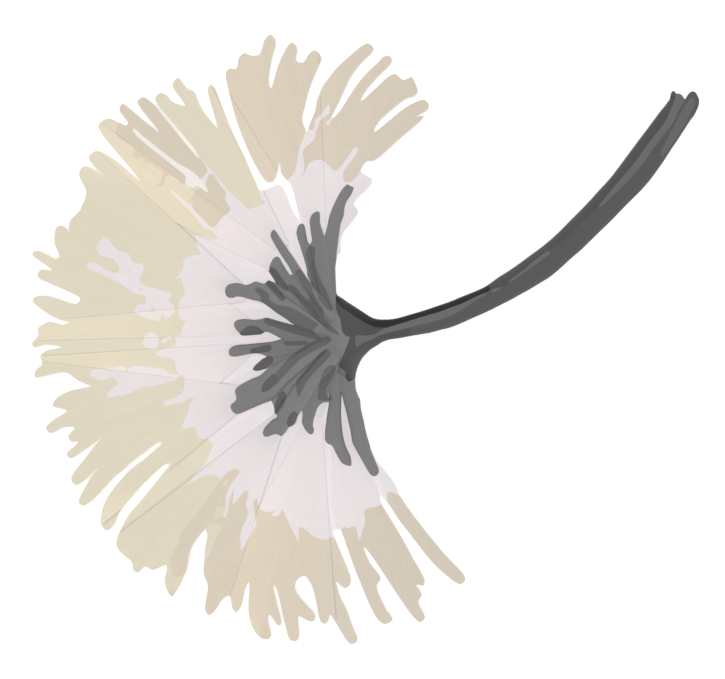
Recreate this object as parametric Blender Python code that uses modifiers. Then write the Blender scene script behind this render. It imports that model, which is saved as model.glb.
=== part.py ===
"""Mimosa flower: one cut flower head with its stalk, lying on its side.

Frame: metres, +Z up, origin under the middle of the flower's box, on the
surface that it lies on.  The flower is drawn in plan, in drawing units (du)
of 0.082 mm with y running down the sheet, and every piece gets its height
from the ring of florets that it belongs to.

Pieces: the stem with its flared receptacle, and 29 florets, each of one
calyx (a tapering finger) and one tuft of filaments (a fan of flat strands).
"""
import math

import bpy
from mathutils import Vector, noise
from mathutils.geometry import delaunay_2d_cdt

# ------------------------------------------------------------ dimensions
DU = 0.000082              # metres per drawing unit: a 50 mm head is 610 du
SHEET_X, SHEET_Y = 366.0, 339.0    # drawing point above the origin
HEAD_X, HEAD_Y = 345.0, 335.0      # centre of the head in the drawing
HEAD_Z = 0.0110            # height of the head's centre
SHEET_T = 0.00028          # thickness of a tuft of filaments
STEP_Z = 0.00055           # height step between overlapping tufts
GAP = 0.00015              # air between a calyx and the tufts
KNOB_R = 40.0              # receptacle knob radius, du
BASE_R = 47.0              # where the tufts of the rim ring start, du
OVERLAP = 4.0              # how far neighbours in the rim ring overlap, du
LATTICE = 46.0             # spacing of the points inside a tuft, du

COLORS = {
    "stem": ((0.105, 0.105, 0.105), 0.62),
    "calyx": ((0.198, 0.198, 0.198), 0.6),
    "calyx_dark": ((0.112, 0.112, 0.112), 0.6),
    "cream": ((0.742, 0.686, 0.545), 0.85),
    "tan": ((0.69, 0.62, 0.50), 0.85),
}


# ------------------------------------------------------------ plan helpers
def on(ox, oy, scale, pts):
    """Points read on an enlarged sheet whose corner is (ox, oy)."""
    return [(ox + x / scale, oy + y / scale) for x, y in pts]


def polar(r, deg):
    a = math.radians(deg)
    return (HEAD_X + r * math.cos(a), HEAD_Y - r * math.sin(a))


def radius(p):
    return math.hypot(p[0] - HEAD_X, HEAD_Y - p[1])


def angle(p):
    a = math.degrees(math.atan2(HEAD_Y - p[1], p[0] - HEAD_X))
    return a + 360.0 if a < -20.0 else a


def world(p, z):
    return Vector(((p[0] - SHEET_X) * DU, (SHEET_Y - p[1]) * DU, z))


def seam(notch, base_deg, side):
    """From a notch in the rim down to the base, a little past the seam."""
    r_n, a_n = radius(notch), angle(notch)
    out = []
    for t in (0.12, 0.4, 0.7, 1.0):
        r = r_n + (BASE_R - r_n) * t
        a = a_n + (base_deg - a_n) * t
        shift = side * OVERLAP * min(1.0, (r_n - r) / 15.0)
        out.append(polar(r, a + math.degrees(shift / r)))
    return out


def wound(poly):
    """The outline with its points in the order that has a positive area."""
    n = len(poly)
    area = sum(poly[i - 1][0] * poly[i][1] - poly[i][0] * poly[i - 1][1]
               for i in range(n))
    return list(poly) if area > 0 else list(poly)[::-1]


def inset(poly, dist):
    """Move every corner of an outline inward by about dist."""
    poly = wound(poly)
    n = len(poly)
    out = []
    for i in range(n):
        a, b, c = poly[i - 1], poly[i], poly[(i + 1) % n]
        d1 = Vector((b[0] - a[0], b[1] - a[1]))
        d2 = Vector((c[0] - b[0], c[1] - b[1]))
        if d1.length < 1e-6 or d2.length < 1e-6:
            continue
        d1.normalize()
        d2.normalize()
        nrm = Vector((-(d1.y + d2.y), d1.x + d2.x))
        if nrm.length < 0.35:
            turn = d1.x * d2.y - d1.y * d2.x
            nrm = (d2 - d1) if turn > 0 else (d1 - d2)
        nrm.normalize()
        out.append((b[0] + nrm.x * dist, b[1] + nrm.y * dist))
    return out


def smoothstep(a, b, x):
    t = min(1.0, max(0.0, (x - a) / (b - a)))
    return t * t * (3.0 - 2.0 * t)


# ------------------------------------------------------------ outline of the head
# Every tuft of the rim ring has a chain of points along the outline of the
# head, from its right side round to its left, with a tip or a notch at each.
RIMS = {
    1: on(200, 25, 6.533, [
        (892, 1520), (918, 1480), (915, 1435), (930, 1370), (1000, 1275),
        (1035, 1215), (1005, 1165), (1110, 1050), (1125, 1010), (1052, 955),
        (1090, 890), (1135, 885), (1300, 745), (1463, 594), (1414, 597),
        (1485, 553), (1497, 525), (1465, 488), (1420, 498), (1340, 540),
        (1137, 697), (1165, 635), (1255, 550), (1350, 478), (1400, 462),
        (1422, 435), (1400, 365), (1385, 338), (1330, 358), (1275, 320),
        (1240, 330), (1140, 420), (1052, 497), (1075, 440), (1150, 350),
        (1255, 230), (1230, 198), (1195, 210), (1080, 330), (940, 530),
        (862, 603), (965, 375), (1065, 225), (1135, 155), (1100, 120),
        (1070, 128), (910, 270), (780, 440), (750, 580), (706, 682)]),
    2: on(200, 25, 6.533, [
        (690, 692), (665, 610), (700, 450), (795, 215), (750, 163), (715, 185),
        (672, 243), (628, 232), (635, 150), (605, 113), (580, 127), (515, 250),
        (462, 413), (450, 350), (468, 220), (493, 98), (460, 62), (425, 90),
        (385, 192), (330, 197), (288, 182), (255, 212), (235, 285), (190, 283),
        (168, 312), (180, 400), (250, 660), (370, 930), (440, 1025), (485, 1015),
        (522, 888), (530, 965), (560, 1008), (592, 1040), (655, 1278)]),
    3: on(200, 25, 6.533, [
        (652, 1280), (615, 1230), (545, 1070), (510, 1040), (455, 1062),
        (390, 1082), (235, 740), (105, 425), (70, 388), (52, 430), (115, 666)])
       + on(50, 60, 6.533, [
        (975, 290), (945, 210), (890, 180), (835, 115), (800, 155), (815, 200),
        (885, 300), (810, 280), (770, 235), (720, 213), (690, 257), (860, 480),
        (980, 630)]),
    4: on(50, 60, 6.533, [
        (978, 636), (860, 508), (655, 267), (600, 243), (570, 270), (585, 305),
        (712, 470), (520, 318), (475, 285), (452, 322), (510, 415), (490, 427),
        (450, 410)]),
    5: on(50, 60, 6.533, [
        (450, 410), (380, 382), (315, 422), (335, 475), (592, 795), (410, 645),
        (300, 593), (253, 635), (285, 690), (365, 762), (225, 693), (188, 738),
        (235, 860), (180, 1010), (125, 1080), (130, 1122)]),
    6: on(20, 215, 7.467, [
        (372, 128), (330, 87), (290, 78), (265, 105), (258, 215), (292, 308),
        (275, 328), (120, 265), (90, 292), (240, 413), (155, 408), (128, 448),
        (150, 480), (440, 602), (430, 660)]),
    7: on(20, 215, 7.467, [
        (410, 663), (200, 605), (110, 612), (92, 640), (190, 725), (362, 800),
        (315, 820), (215, 797), (130, 850), (138, 890), (88, 962), (105, 988),
        (190, 970), (302, 988), (190, 1015), (150, 1055), (165, 1115),
        (118, 1155), (110, 1212), (200, 1198), (340, 1177), (430, 1235),
        (525, 1272)]),
    8: on(30, 380, 6.535, [
        (395, 40), (250, 75), (165, 125), (148, 170), (190, 185), (240, 200),
        (150, 262), (103, 310), (130, 348), (215, 310), (290, 312), (248, 368),
        (270, 405), (315, 404), (238, 485), (262, 512), (330, 475), (475, 378)]),
    9: on(30, 380, 6.535, [
        (475, 380), (360, 510), (268, 650), (300, 687), (350, 660), (447, 570),
        (380, 665), (318, 800), (345, 822), (400, 790), (560, 625), (740, 490),
        (865, 410), (650, 590), (540, 730), (475, 850), (460, 940), (500, 985),
        (545, 950), (585, 865), (740, 680), (885, 552), (920, 545)]),
    10: on(30, 380, 6.535, [
        (920, 547), (740, 770), (630, 905), (563, 1075), (600, 1135),
        (665, 1190), (675, 1245), (705, 1260), (750, 1220), (800, 1243),
        (890, 1213), (880, 1330), (925, 1415), (955, 1380), (1022, 1240),
        (1055, 1095), (1147, 972)]),
    12: on(180, 440, 7.127, [
        (182, 633), (197, 690), (178, 850), (168, 950), (198, 1045),
        (178, 1210), (205, 1250), (250, 1215), (300, 1140), (350, 1112),
        (375, 1205), (400, 1228), (430, 1195), (465, 1060), (490, 1012),
        (490, 1240), (530, 1360), (610, 1425), (650, 1400), (630, 1290),
        (632, 1245), (690, 1315), (722, 1295), (668, 1040)]),
    13: on(180, 440, 7.127, [
        (672, 1040), (770, 1390), (815, 1437), (848, 1400), (842, 1255),
        (920, 1293), (962, 1270), (825, 1060), (830, 1000), (885, 970),
        (930, 1020), (965, 1130), (1000, 1290), (1030, 1310), (1073, 1248),
        (1185, 1430), (1225, 1457), (1265, 1420), (1200, 1220), (1140, 1110),
        (1106, 1005), (1180, 1053), (1218, 1000), (1195, 920), (1100, 690),
        (1087, 655)]),
    14: on(180, 440, 7.127, [
        (1150, 655), (1250, 930), (1410, 1280), (1460, 1313), (1515, 1280),
        (1470, 1210), (1403, 1040), (1430, 990), (1350, 870), (1310, 762)])
        + on(330, 470, 8.25, [
        (340, 705), (690, 1215), (745, 1255), (783, 1220), (730, 1090),
        (757, 1030), (710, 945), (772, 955), (780, 900), (460, 340),
        (425, 282)]),
    15: on(330, 470, 8.25, [
        (475, 270), (560, 400), (750, 660), (900, 820), (1030, 925),
        (1080, 942), (1117, 900), (940, 690), (800, 520), (640, 310),
        (580, 215), (530, 110), (445, 0)])
        + on(215, 330, 8.253, [(1330, 1075), (1285, 980), (1235, 830),
                               (1190, 600)]),
}

# Base angles at the two sides of each tuft of the rim ring, degrees.
BASES = {1: (103, 108), 2: (106, 113.5), 3: (114, 127), 4: (127, 134),
         5: (133, 148), 6: (148, 165), 7: (165, 190), 8: (190, 203),
         9: (203, 215), 10: (215, 233), 12: (233, 250), 13: (250, 262),
         14: (262, 270), 15: (270, 277)}
RIM_LEVEL = {1: 0, 2: 1, 3: 0, 4: 1, 5: 0, 6: -1, 7: 0, 8: -1, 9: 0, 10: -1,
             11: 1, 12: 0, 13: -1, 14: 0, 15: -1}
RIM_COLOR = {1: "tan", 2: "tan", 4: "tan", 11: "tan", 12: "tan", 13: "tan",
             14: "tan", 15: "tan"}

# Sides that do not follow a plain seam.
RIGHT_2 = on(200, 25, 6.533, [(650, 830), (625, 950), (645, 1060), (705, 1275)])
LEFT_1 = on(200, 25, 6.533, [(660, 850), (620, 960), (625, 1060), (700, 1300)])
LEFT_4 = on(50, 60, 6.533, [
    (432, 495), (548, 578), (545, 637), (605, 640), (735, 728), (760, 758),
    (848, 790), (885, 812), (975, 835), (905, 930), (1070, 1095)])
RIGHT_5 = on(50, 60, 6.533, [(560, 470), (760, 640), (1000, 860), (1120, 1050)])
STRAND_11 = on(30, 380, 6.535, [
    (1355, 582), (1310, 595), (1250, 650), (980, 1015), (935, 1150),
    (913, 1195), (945, 1285), (1000, 1278), (1024, 1230), (1055, 1095),
    (1147, 972), (1205, 915), (1205, 850), (1280, 820), (1300, 720),
    (1370, 600)]) + [(264.0, 441.0), (280.0, 420.0), (271.0, 413.0),
                     (255.0, 434.0)]


def rim_outline(k):
    if k == 11:
        return list(STRAND_11)
    rim = RIMS[k]
    a0, a1 = BASES[k]
    left = seam(rim[-1], a1, 1.0)
    right = seam(rim[0], a0, -1.0)[::-1]
    if k == 1:
        left = LEFT_1 + [polar(BASE_R, a1)]
        right = [polar(BASE_R, a0)]
    if k == 2:
        right = [polar(BASE_R, a0)] + RIGHT_2[::-1]
        left = [polar(90, 111.5), polar(BASE_R, a1)]
    if k == 3:
        right = [polar(BASE_R, a0), polar(90, 112.6)]
    if k == 4:
        left = LEFT_4 + [polar(BASE_R, a1)]
    if k == 5:
        right = [polar(BASE_R, a0)] + RIGHT_5[::-1]
    if k == 15:
        left = [polar(BASE_R, a1)]
    return right + rim + left


def head_outline():
    """The whole outline of the head, closed through its base."""
    ring = []
    for k in sorted(RIMS):
        ring += RIMS[k]
    return ring + [polar(BASE_R, 277), polar(BASE_R, 190), polar(BASE_R, 103)]


# ------------------------------------------------------------ heights, metres
def wander(p, seed, size):
    """Strands rise and fall a little towards their tips."""
    grow = smoothstep(245.0, 310.0, radius(p))
    return size * grow * noise.noise(Vector((angle(p) * 0.16, seed, 0.3)))


def rim_height(p, level=0):
    m = radius(p) * DU
    return (HEAD_Z - 0.0006 + 0.03 * m - 3.5 * m * m + level * STEP_Z
            + wander(p, 1.7, 0.0011))


# ------------------------------------------------------------ upper and lower tufts
# ring: (slope of its calyces, height of their line at the start above the
# head's centre, radius there, tuft above or below its calyx, slope and bend
# of the tuft past the calyx, sag towards its sides), metres
RINGS = {
    "mid": (0.445, 0.0020, 0.0032, -1, 0.43, 9.0, -42.0),
    "top": (0.80, 0.00305, 0.00217, -1, 0.78, 18.0, -45.0),
    "low": (-0.45, -0.0028, 0.0026, 1, -0.34, -6.0, 22.0),
    "floor": (-0.85, -0.0036, 0.0013, 1, -0.85, 0.0, 0.0),
}
# name: (tip of its calyx, half width there, fan from, fan to, inset, colour)
FANS = {
    "mid_1": ((316.0, 216.0), 5.2, 95.0, 116.5, 3.0, "tan"),
    "mid_2": ((277.0, 262.0), 5.2, 122.0, 149.0, 3.0, "cream"),
    "mid_3": ((240.0, 327.0), 7.2, 152.0, 181.0, 3.0, "cream"),
    "mid_4": ((235.0, 352.0), 5.2, 184.0, 213.0, 3.0, "cream"),
    "mid_5": ((310.0, 429.0), 5.6, 243.0, 269.0, 3.0, "tan"),
    "top_1": ((275.0, 236.0), 4.8, 118.0, 139.0, 6.0, "cream"),
    "top_2": ((233.0, 290.5), 6.3, 143.0, 178.0, 6.0, "cream"),
    "top_3": ((241.0, 400.0), 12.0, 184.0, 218.0, 6.0, "cream"),
    "top_4": ((272.0, 429.0), 8.5, 221.0, 247.0, 6.0, "tan"),
    "low_1": (polar(94.0, 112.0), 5.6, 88.0, 137.0, 4.0, "tan"),
    "low_2": (polar(96.0, 172.0), 5.6, 142.0, 204.0, 4.0, "cream"),
    "low_3": (polar(94.0, 236.0), 5.6, 209.0, 268.0, 4.0, "tan"),
    "floor_1": (polar(82.0, 148.0), 5.6, 119.0, 181.0, 7.0, "cream"),
    "floor_2": (polar(82.0, 214.0), 5.6, 187.0, 249.0, 7.0, "cream"),
}
FAN_BACK = 14.0            # how far a fan starts inside its calyx tip, du
FAN_MOUTH = 6.5            # half the width of a fan where it starts, du


def fan_outline(tip, a0, a1):
    away = math.radians(angle(tip))
    ux, uy = math.cos(away), -math.sin(away)
    sx, sy = tip[0] - ux * FAN_BACK, tip[1] - uy * FAN_BACK
    left = (sx + uy * FAN_MOUTH, sy - ux * FAN_MOUTH)
    right = (sx - uy * FAN_MOUTH, sy + ux * FAN_MOUTH)
    rim = [polar(335.0, a1 + (a0 - a1) * i / 6.0) for i in range(7)]
    return [right, left] + rim


def calyx_line(ring, m):
    slope, z0, m0 = RINGS[ring][:3]
    return HEAD_Z + z0 + slope * (m - m0)


def fan_height(key, p):
    ring = key.split("_")[0]
    _s, _z, _m, way, slope, bend, sag = RINGS[ring]
    tip, half, a0, a1 = FANS[key][:4]
    m, m_tip = radius(p) * DU, radius(tip) * DU
    lean = math.hypot(1.0, _s)
    off = way * ((half * DU + SHEET_T / 2) * lean + GAP + 0.0001)
    if m < m_tip:
        z = calyx_line(ring, m) + off
    else:
        d = m - m_tip
        z = calyx_line(ring, m_tip) + off + slope * d - bend * d * d
    axis = angle(tip) + ((a0 + a1) / 2 - angle(tip)) * smoothstep(
        radius(tip), 300.0, radius(p))
    q = m * math.sin(math.radians(angle(p) - axis))
    z += sag * q * q * smoothstep(radius(tip), radius(tip) + 60.0, radius(p))
    if ring == "floor":
        lie, soft = SHEET_T * 0.5, 0.0016
        if z < lie + soft:
            z = lie + soft * math.exp((z - lie - soft) / soft)
        return lie + (z - lie) * (1.0 - smoothstep(172.0, 192.0, radius(p)))
    return z + wander(p, len(key) * 1.7 + a0 * 0.37, 0.0020)


# ------------------------------------------------------------ flat pieces
def inside(poly, x, y):
    hit = False
    n = len(poly)
    for i in range(n):
        x0, y0 = poly[i]
        x1, y1 = poly[i - 1]
        if (y0 > y) != (y1 > y) and x < (x1 - x0) * (y - y0) / (y1 - y0) + x0:
            hit = not hit
    return hit


def edge_distance(poly, x, y):
    best = 1e9
    n = len(poly)
    for i in range(n):
        x0, y0 = poly[i - 1]
        x1, y1 = poly[i]
        dx, dy = x1 - x0, y1 - y0
        q = dx * dx + dy * dy
        t = 0.0 if q < 1e-12 else max(0.0, min(1.0, ((x - x0) * dx + (y - y0) * dy) / q))
        best = min(best, math.hypot(x - x0 - t * dx, y - y0 - t * dy))
    return best


def clip(poly, other):
    """The largest part of one outline that lies inside another."""
    poly, other = wound(poly), wound(other)
    pts = [Vector(p) for p in poly] + [Vector(p) for p in other]
    f0 = list(range(len(poly)))
    f1 = list(range(len(poly), len(pts)))
    vs, _es, fs, _ov, _oe, of = delaunay_2d_cdt(pts, [], [f0, f1], 1, 1e-4)
    keep = [f for f, src in zip(fs, of) if 0 in src and 1 in src]
    share = {}
    for i, f in enumerate(keep):
        for a, b in zip(f, f[1:] + f[:1]):
            share.setdefault((min(a, b), max(a, b)), []).append(i)
    seen, best = set(), []
    for i in range(len(keep)):
        if i in seen:
            continue
        todo, part = [i], []
        seen.add(i)
        while todo:
            j = todo.pop()
            part.append(j)
            f = keep[j]
            for a, b in zip(f, f[1:] + f[:1]):
                for k in share[(min(a, b), max(a, b))]:
                    if k not in seen:
                        seen.add(k)
                        todo.append(k)
        area = 0.0
        for j in part:
            a, b, c = (vs[v] for v in keep[j][:3])
            area += abs((b - a).cross(c - a))
        if not best or area > best[0]:
            best = (area, part)
    nxt = {}
    part = set(best[1])
    for j in part:
        f = keep[j]
        for a, b in zip(f, f[1:] + f[:1]):
            if len([k for k in share[(min(a, b), max(a, b))] if k in part]) == 1:
                nxt[a] = b
    start = next(iter(nxt))
    loop, v = [], start
    while True:
        loop.append((vs[v].x, vs[v].y))
        v = nxt[v]
        if v == start or len(loop) > len(nxt):
            break
    return tidy(loop, 1.2)


def tidy(loop, least):
    """Drop points closer together than least."""
    out = []
    for p in loop:
        if not out or math.hypot(p[0] - out[-1][0], p[1] - out[-1][1]) >= least:
            out.append(p)
    if len(out) > 3 and math.hypot(out[0][0] - out[-1][0], out[0][1] - out[-1][1]) < least:
        out.pop()
    return out


def principled(name, color, rough):
    mat = bpy.data.materials.new(name)
    mat.use_nodes = True
    bsdf = mat.node_tree.nodes["Principled BSDF"]
    bsdf.inputs["Base Color"].default_value = (*color, 1.0)
    bsdf.inputs["Roughness"].default_value = rough
    bsdf.inputs["Metallic"].default_value = 0.0
    return mat


def add_object(name, data, kind, parts):
    obj = bpy.data.objects.new(name, data)
    parts.objects.link(obj)
    color, rough = COLORS[kind]
    data.materials.append(principled(name, color, rough))
    return obj


def sheet(name, outline, height, kind, parts):
    """A tuft: the outline filled with a few inner points, and Solidify."""
    outline = wound(outline)
    xs = [p[0] for p in outline]
    ys = [p[1] for p in outline]
    pts = [Vector(p) for p in outline]
    row = 0
    y = min(ys)
    while y < max(ys):
        x = min(xs) + (LATTICE / 2 if row % 2 else 0.0)
        while x < max(xs):
            if inside(outline, x, y) and edge_distance(outline, x, y) > 11.0:
                pts.append(Vector((x, y)))
            x += LATTICE
        y += LATTICE * 0.866
        row += 1
    vs, _e, fs, _a, _b, _c = delaunay_2d_cdt(
        pts, [], [list(range(len(outline)))], 1, 1e-4)
    verts = [world(v, height(v)) for v in vs]
    faces = []
    for f in fs:
        a, b, c = (verts[i] for i in f[:3])
        up = (b - a).cross(c - a).z
        faces.append(tuple(f) if up > 0 else tuple(reversed(f)))
    mesh = bpy.data.meshes.new(name)
    mesh.from_pydata(verts, [], faces)
    mesh.update()
    obj = add_object(name, mesh, kind, parts)
    mod = obj.modifiers.new("thickness", 'SOLIDIFY')
    mod.thickness = SHEET_T
    mod.offset = 0.0
    return obj


# ------------------------------------------------------------ calyces
# Plan points (x, y, half width) in drawing units, from the knob to the tip.
CALYX = {
    "rim_01": [(330.5, 268, 6.8), (331.5, 238, 7.0), (336, 216, 6.3),
               (342, 200, 5.4), (350.3, 187, 4.0)],
    "rim_02": [(314, 272, 5.6), (306, 250, 5.2), (302, 234, 4.7),
               (301, 226, 3.4)],
    "rim_03": [(297, 298, 5.0), (283, 284, 5.0), (275, 273, 4.4),
               (271.5, 268.5, 3.2)],
    "rim_04": [(297, 310, 4.4), (284, 299, 4.0), (273, 287, 3.8),
               (269, 282.5, 3.0)],
    "rim_07": [(296, 351, 4.8), (275, 359, 4.5), (262, 366, 4.0),
               (255, 369.5, 2.8)],
    "rim_11": [(300, 377, 4.8), (286, 392, 5.0), (280, 402, 4.5),
               (276.5, 411, 3.0)],
    "rim_12": [(311, 386, 5.0), (301, 402, 5.0), (294, 413, 4.8),
               (290, 422, 3.2)],
    "rim_14": [(334, 398, 6.0), (333, 420, 8.0), (335, 438, 7.8),
               (342, 452, 5.8), (348, 462, 4.0)],
    "rim_15": [(351.5, 400, 7.0), (357.5, 425, 7.2), (363, 446, 7.2),
               (370, 462, 6.0), (373.5, 471, 4.6)],
    "mid_1": [(322, 265, 6.5), (317.5, 240, 6.3), (315.2, 224, 5.2),
              (315.8, 215, 3.8)],
    "mid_2": [(300, 293, 6.2), (288, 277, 6.4), (279, 265, 5.2),
              (276, 260, 3.8)],
    "mid_3": [(298, 330, 6.0), (278, 326.5, 6.6), (262, 325, 6.8),
              (248, 326, 7.2), (238, 327, 5.0)],
    "mid_4": [(298, 346, 5.8), (278, 347, 6.0), (258, 349, 5.2),
              (243, 350.8, 5.0), (233, 352.2, 4.0)],
    "mid_5": [(321, 388, 7.0), (312, 407, 6.8), (307.8, 422, 5.6),
              (310, 431, 3.6)],
    "top_1": [(303, 287, 5.2), (287, 262, 5.5), (277, 243, 4.8),
              (273.5, 233, 3.4)],
    "top_2": [(300, 316, 7.5), (280, 304, 9.0), (258, 292.5, 8.6),
              (243, 290.5, 6.3), (230, 290.5, 5.4)],
    "top_3": [(300, 362, 7.5), (282, 374, 10.5), (264, 386, 12.6),
              (250, 394, 12.0), (238, 401, 8.5)],
    "top_4": [(311, 379, 7.5), (300, 395, 9.5), (287, 412, 9.8),
              (277, 424, 8.5), (269, 431.5, 6.0)],
}
# Calyces on the underside of the rim ring and below it: angle, tip radius.
HIDDEN = {"rim_05": (141.0, 98.0), "rim_06": (156.0, 104.0),
          "rim_08": (197.0, 104.0), "rim_09": (210.0, 100.0),
          "rim_10": (225.0, 102.0), "rim_13": (257.0, 100.0),
          "low_1": (112.0, 96.0), "low_2": (172.0, 98.0), "low_3": (236.0, 96.0),
          "floor_1": (148.0, 84.0), "floor_2": (214.0, 84.0)}
BASE_ANGLE = {"rim_01": 102.0, "rim_02": 119.0, "rim_03": 136.0,
              "rim_04": 152.0, "rim_07": 190.0, "rim_11": 222.0,
              "rim_12": 240.0, "rim_14": 258.0, "rim_15": 275.5,
              "mid_1": 108.0, "mid_2": 138.0, "mid_3": 172.0, "mid_4": 196.0,
              "mid_5": 246.0, "top_1": 122.0, "top_2": 158.0, "top_3": 206.0,
              "top_4": 240.0}
# ring: (radius du where the calyx starts, half width there du)
RING_START = {"rim": (45.0, 5.0), "under": (40.0, 5.0), "mid": (39.0, 5.2),
              "top": (26.5, 5.0), "low": (32.0, 5.0), "floor": (16.5, 5.0)}
DARK = {"rim_03", "rim_04", "rim_07", "rim_11", "rim_12"}


def calyx_height(ring, p, half):
    """Height of a calyx's centre line, metres."""
    m = radius(p) * DU
    r = half * DU
    if ring == "rim":
        return rim_height(p) + STEP_Z + SHEET_T / 2 + GAP + r + 0.00005
    if ring == "under":
        return rim_height(p) - STEP_Z - SHEET_T / 2 - GAP - r - 0.00005
    return calyx_line(ring, m)


def tube(name, pts, sides_res, kind, parts):
    """A round rod along points (Vector, radius), with filled ends."""
    curve = bpy.data.curves.new(name, 'CURVE')
    curve.dimensions = '3D'
    curve.bevel_depth = 1.0
    curve.bevel_resolution = sides_res
    curve.use_fill_caps = True
    spline = curve.splines.new('POLY')
    spline.points.add(len(pts) - 1)
    for sp, (co, r) in zip(spline.points, pts):
        sp.co = (*co, 1.0)
        sp.radius = r
    return add_object(name, curve, kind, parts)


def calyx(key, parts):
    name = "calyx_" + key
    ring = key.split("_")[0]
    if key in HIDDEN:
        deg, tip = HIDDEN[key]
        ring = "under" if ring == "rim" else ring
        r0, w0 = RING_START[ring]
        plan = [(*polar(r0, deg), w0)]
        for t, w in ((0.3, 5.6), (0.6, 6.0), (0.85, 5.6), (1.0, 4.0)):
            plan.append((*polar(r0 + (tip - r0) * t, deg), w))
    else:
        r0, w0 = RING_START[ring]
        plan = [(*polar(r0, BASE_ANGLE[key]), w0)] + CALYX[key]
    pts = []
    for x, y, w in plan:
        pts.append((world((x, y), calyx_height(ring, (x, y), w)), w * DU))
    return tube(name, pts, 2, "calyx_dark" if key in DARK else "calyx", parts)


# ------------------------------------------------------------ stem
# Distance along the receptacle's axis and radius, du: the knob under the
# calyces, its rim, and the trumpet that narrows to the neck.
AXIS_DEG = 11.7
KNOB = [(-38.5, 9.0), (-34.0, 20.0), (-26.0, 29.5), (-13.0, 37.0), (-1.0, 39.6),
        (4.0, 37.5), (9.0, 31.0), (14.0, 25.0), (21.0, 18.6), (30.0, 13.0)]
# Centre line of the stalk and half width, du, from the neck to the cut.
STALK = [(386, 329, 10.4), (398, 326.5, 9.8), (420, 321.5, 10.2),
         (442, 315, 10.8), (466, 306.5, 11.2), (489, 297, 11.6),
         (512, 284.5, 12.4), (530, 272.5, 13.0), (548, 259.5, 13.6),
         (568, 242.5, 14.2), (588, 224, 14.6), (605, 206.5, 14.6),
         (622, 187, 14.8), (640, 164, 15.0), (655, 144, 14.8),
         (668, 126, 14.4), (678, 111, 13.4), (685.5, 98.5, 11.8)]
STALK_END_Z = 0.00124


def stem(parts):
    a = math.radians(AXIS_DEG)
    pts = []
    for s, r in KNOB:
        p = (HEAD_X + s * math.cos(a), HEAD_Y - s * math.sin(a))
        pts.append((world(p, HEAD_Z), r * DU))
    run = [0.0]
    for p, q in zip(STALK, STALK[1:]):
        run.append(run[-1] + math.hypot(q[0] - p[0], q[1] - p[1]))
    for (x, y, r), s in zip(STALK, run):
        z = HEAD_Z + (STALK_END_Z - HEAD_Z) * smoothstep(0.0, 1.0, s / run[-1])
        pts.append((world((x, y), z), r * DU))
    return tube("stem", pts, 3, "stem", parts)


def main():
    for obj in list(bpy.data.objects):
        bpy.data.objects.remove(obj, do_unlink=True)
    parts = bpy.data.collections.new("mimosa_flower")
    bpy.context.scene.collection.children.link(parts)

    stem(parts)
    for k in range(1, 16):
        key = "rim_%02d" % k
        level = RIM_LEVEL[k]
        sheet("filaments_" + key, rim_outline(k),
              lambda p, lv=level: rim_height(p, lv),
              RIM_COLOR.get(k, "cream"), parts)
        calyx(key, parts)
    whole = head_outline()
    for key, (tip, _half, a0, a1, pull, kind) in FANS.items():
        outline = clip(fan_outline(tip, a0, a1), inset(whole, pull))
        sheet("filaments_" + key, outline,
              lambda p, k=key: fan_height(k, p), kind, parts)
        calyx(key, parts)


main()
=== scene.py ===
"""The looks of the mimosa flower: fringed filament tufts, grey calyces and a
curved stem, laid down on a plain pale surface and seen from above.

Plan points are in drawing units (du) of 0.082 mm, x to the right and y down,
as in the model that this scene dresses."""

import math
import random

import bpy
import numpy as np
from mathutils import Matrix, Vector, noise
from mathutils.geometry import delaunay_2d_cdt
from mathutils.kdtree import KDTree


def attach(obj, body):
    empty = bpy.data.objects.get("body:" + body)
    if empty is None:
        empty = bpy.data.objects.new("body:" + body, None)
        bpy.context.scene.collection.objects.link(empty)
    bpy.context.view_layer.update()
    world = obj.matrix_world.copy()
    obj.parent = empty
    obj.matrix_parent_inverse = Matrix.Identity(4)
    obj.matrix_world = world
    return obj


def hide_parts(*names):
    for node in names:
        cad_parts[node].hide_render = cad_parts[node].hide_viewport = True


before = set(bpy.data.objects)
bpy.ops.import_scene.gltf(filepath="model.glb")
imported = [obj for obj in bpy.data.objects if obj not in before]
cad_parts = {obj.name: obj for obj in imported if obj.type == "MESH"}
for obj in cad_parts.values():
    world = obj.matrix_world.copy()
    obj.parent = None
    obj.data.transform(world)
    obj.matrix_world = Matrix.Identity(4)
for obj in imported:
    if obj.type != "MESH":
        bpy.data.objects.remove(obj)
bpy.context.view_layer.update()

# ------------------------------------------------------------ dimensions
DU = 0.000082
SHEET_X, SHEET_Y = 366.0, 339.0
HEAD_X, HEAD_Y = 345.0, 335.0
HEAD_Z = 0.0110
SHEET_T = 0.00028          # space that the model keeps for a tuft
TUFT_T = 0.00019           # thickness of a tuft as shown
STEP_Z = 0.00055
GAP = 0.00015
BASE_R = 47.0
OVERLAP = 4.0
CAM_D = 1.6514             # camera above the head's centre, metres
FINE = 1.9                 # spacing of the points along an edge, du
NET = 4.2                  # spacing of the points inside a piece, du

# colours as albedo under this light, from the display colours of the flower
SUN, SKY, BOUNCE = 0.58, 0.29, 0.7   # light from above, all round, below
GLOW = 0.14                # painted glow: every plant material, stem and calyces too, emits its own colour, which lifts its shade
LIGHT = SUN + SKY + GLOW   # what a level white surface sends back here


def lin(c):
    c /= 255.0
    return c / 12.92 if c <= 0.04045 else ((c + 0.055) / 1.055) ** 2.4


def paint(r, g, b, gain=1.0, gloss=0.0):
    return tuple((lin(v) - gloss) / LIGHT * gain for v in (r, g, b))


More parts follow.
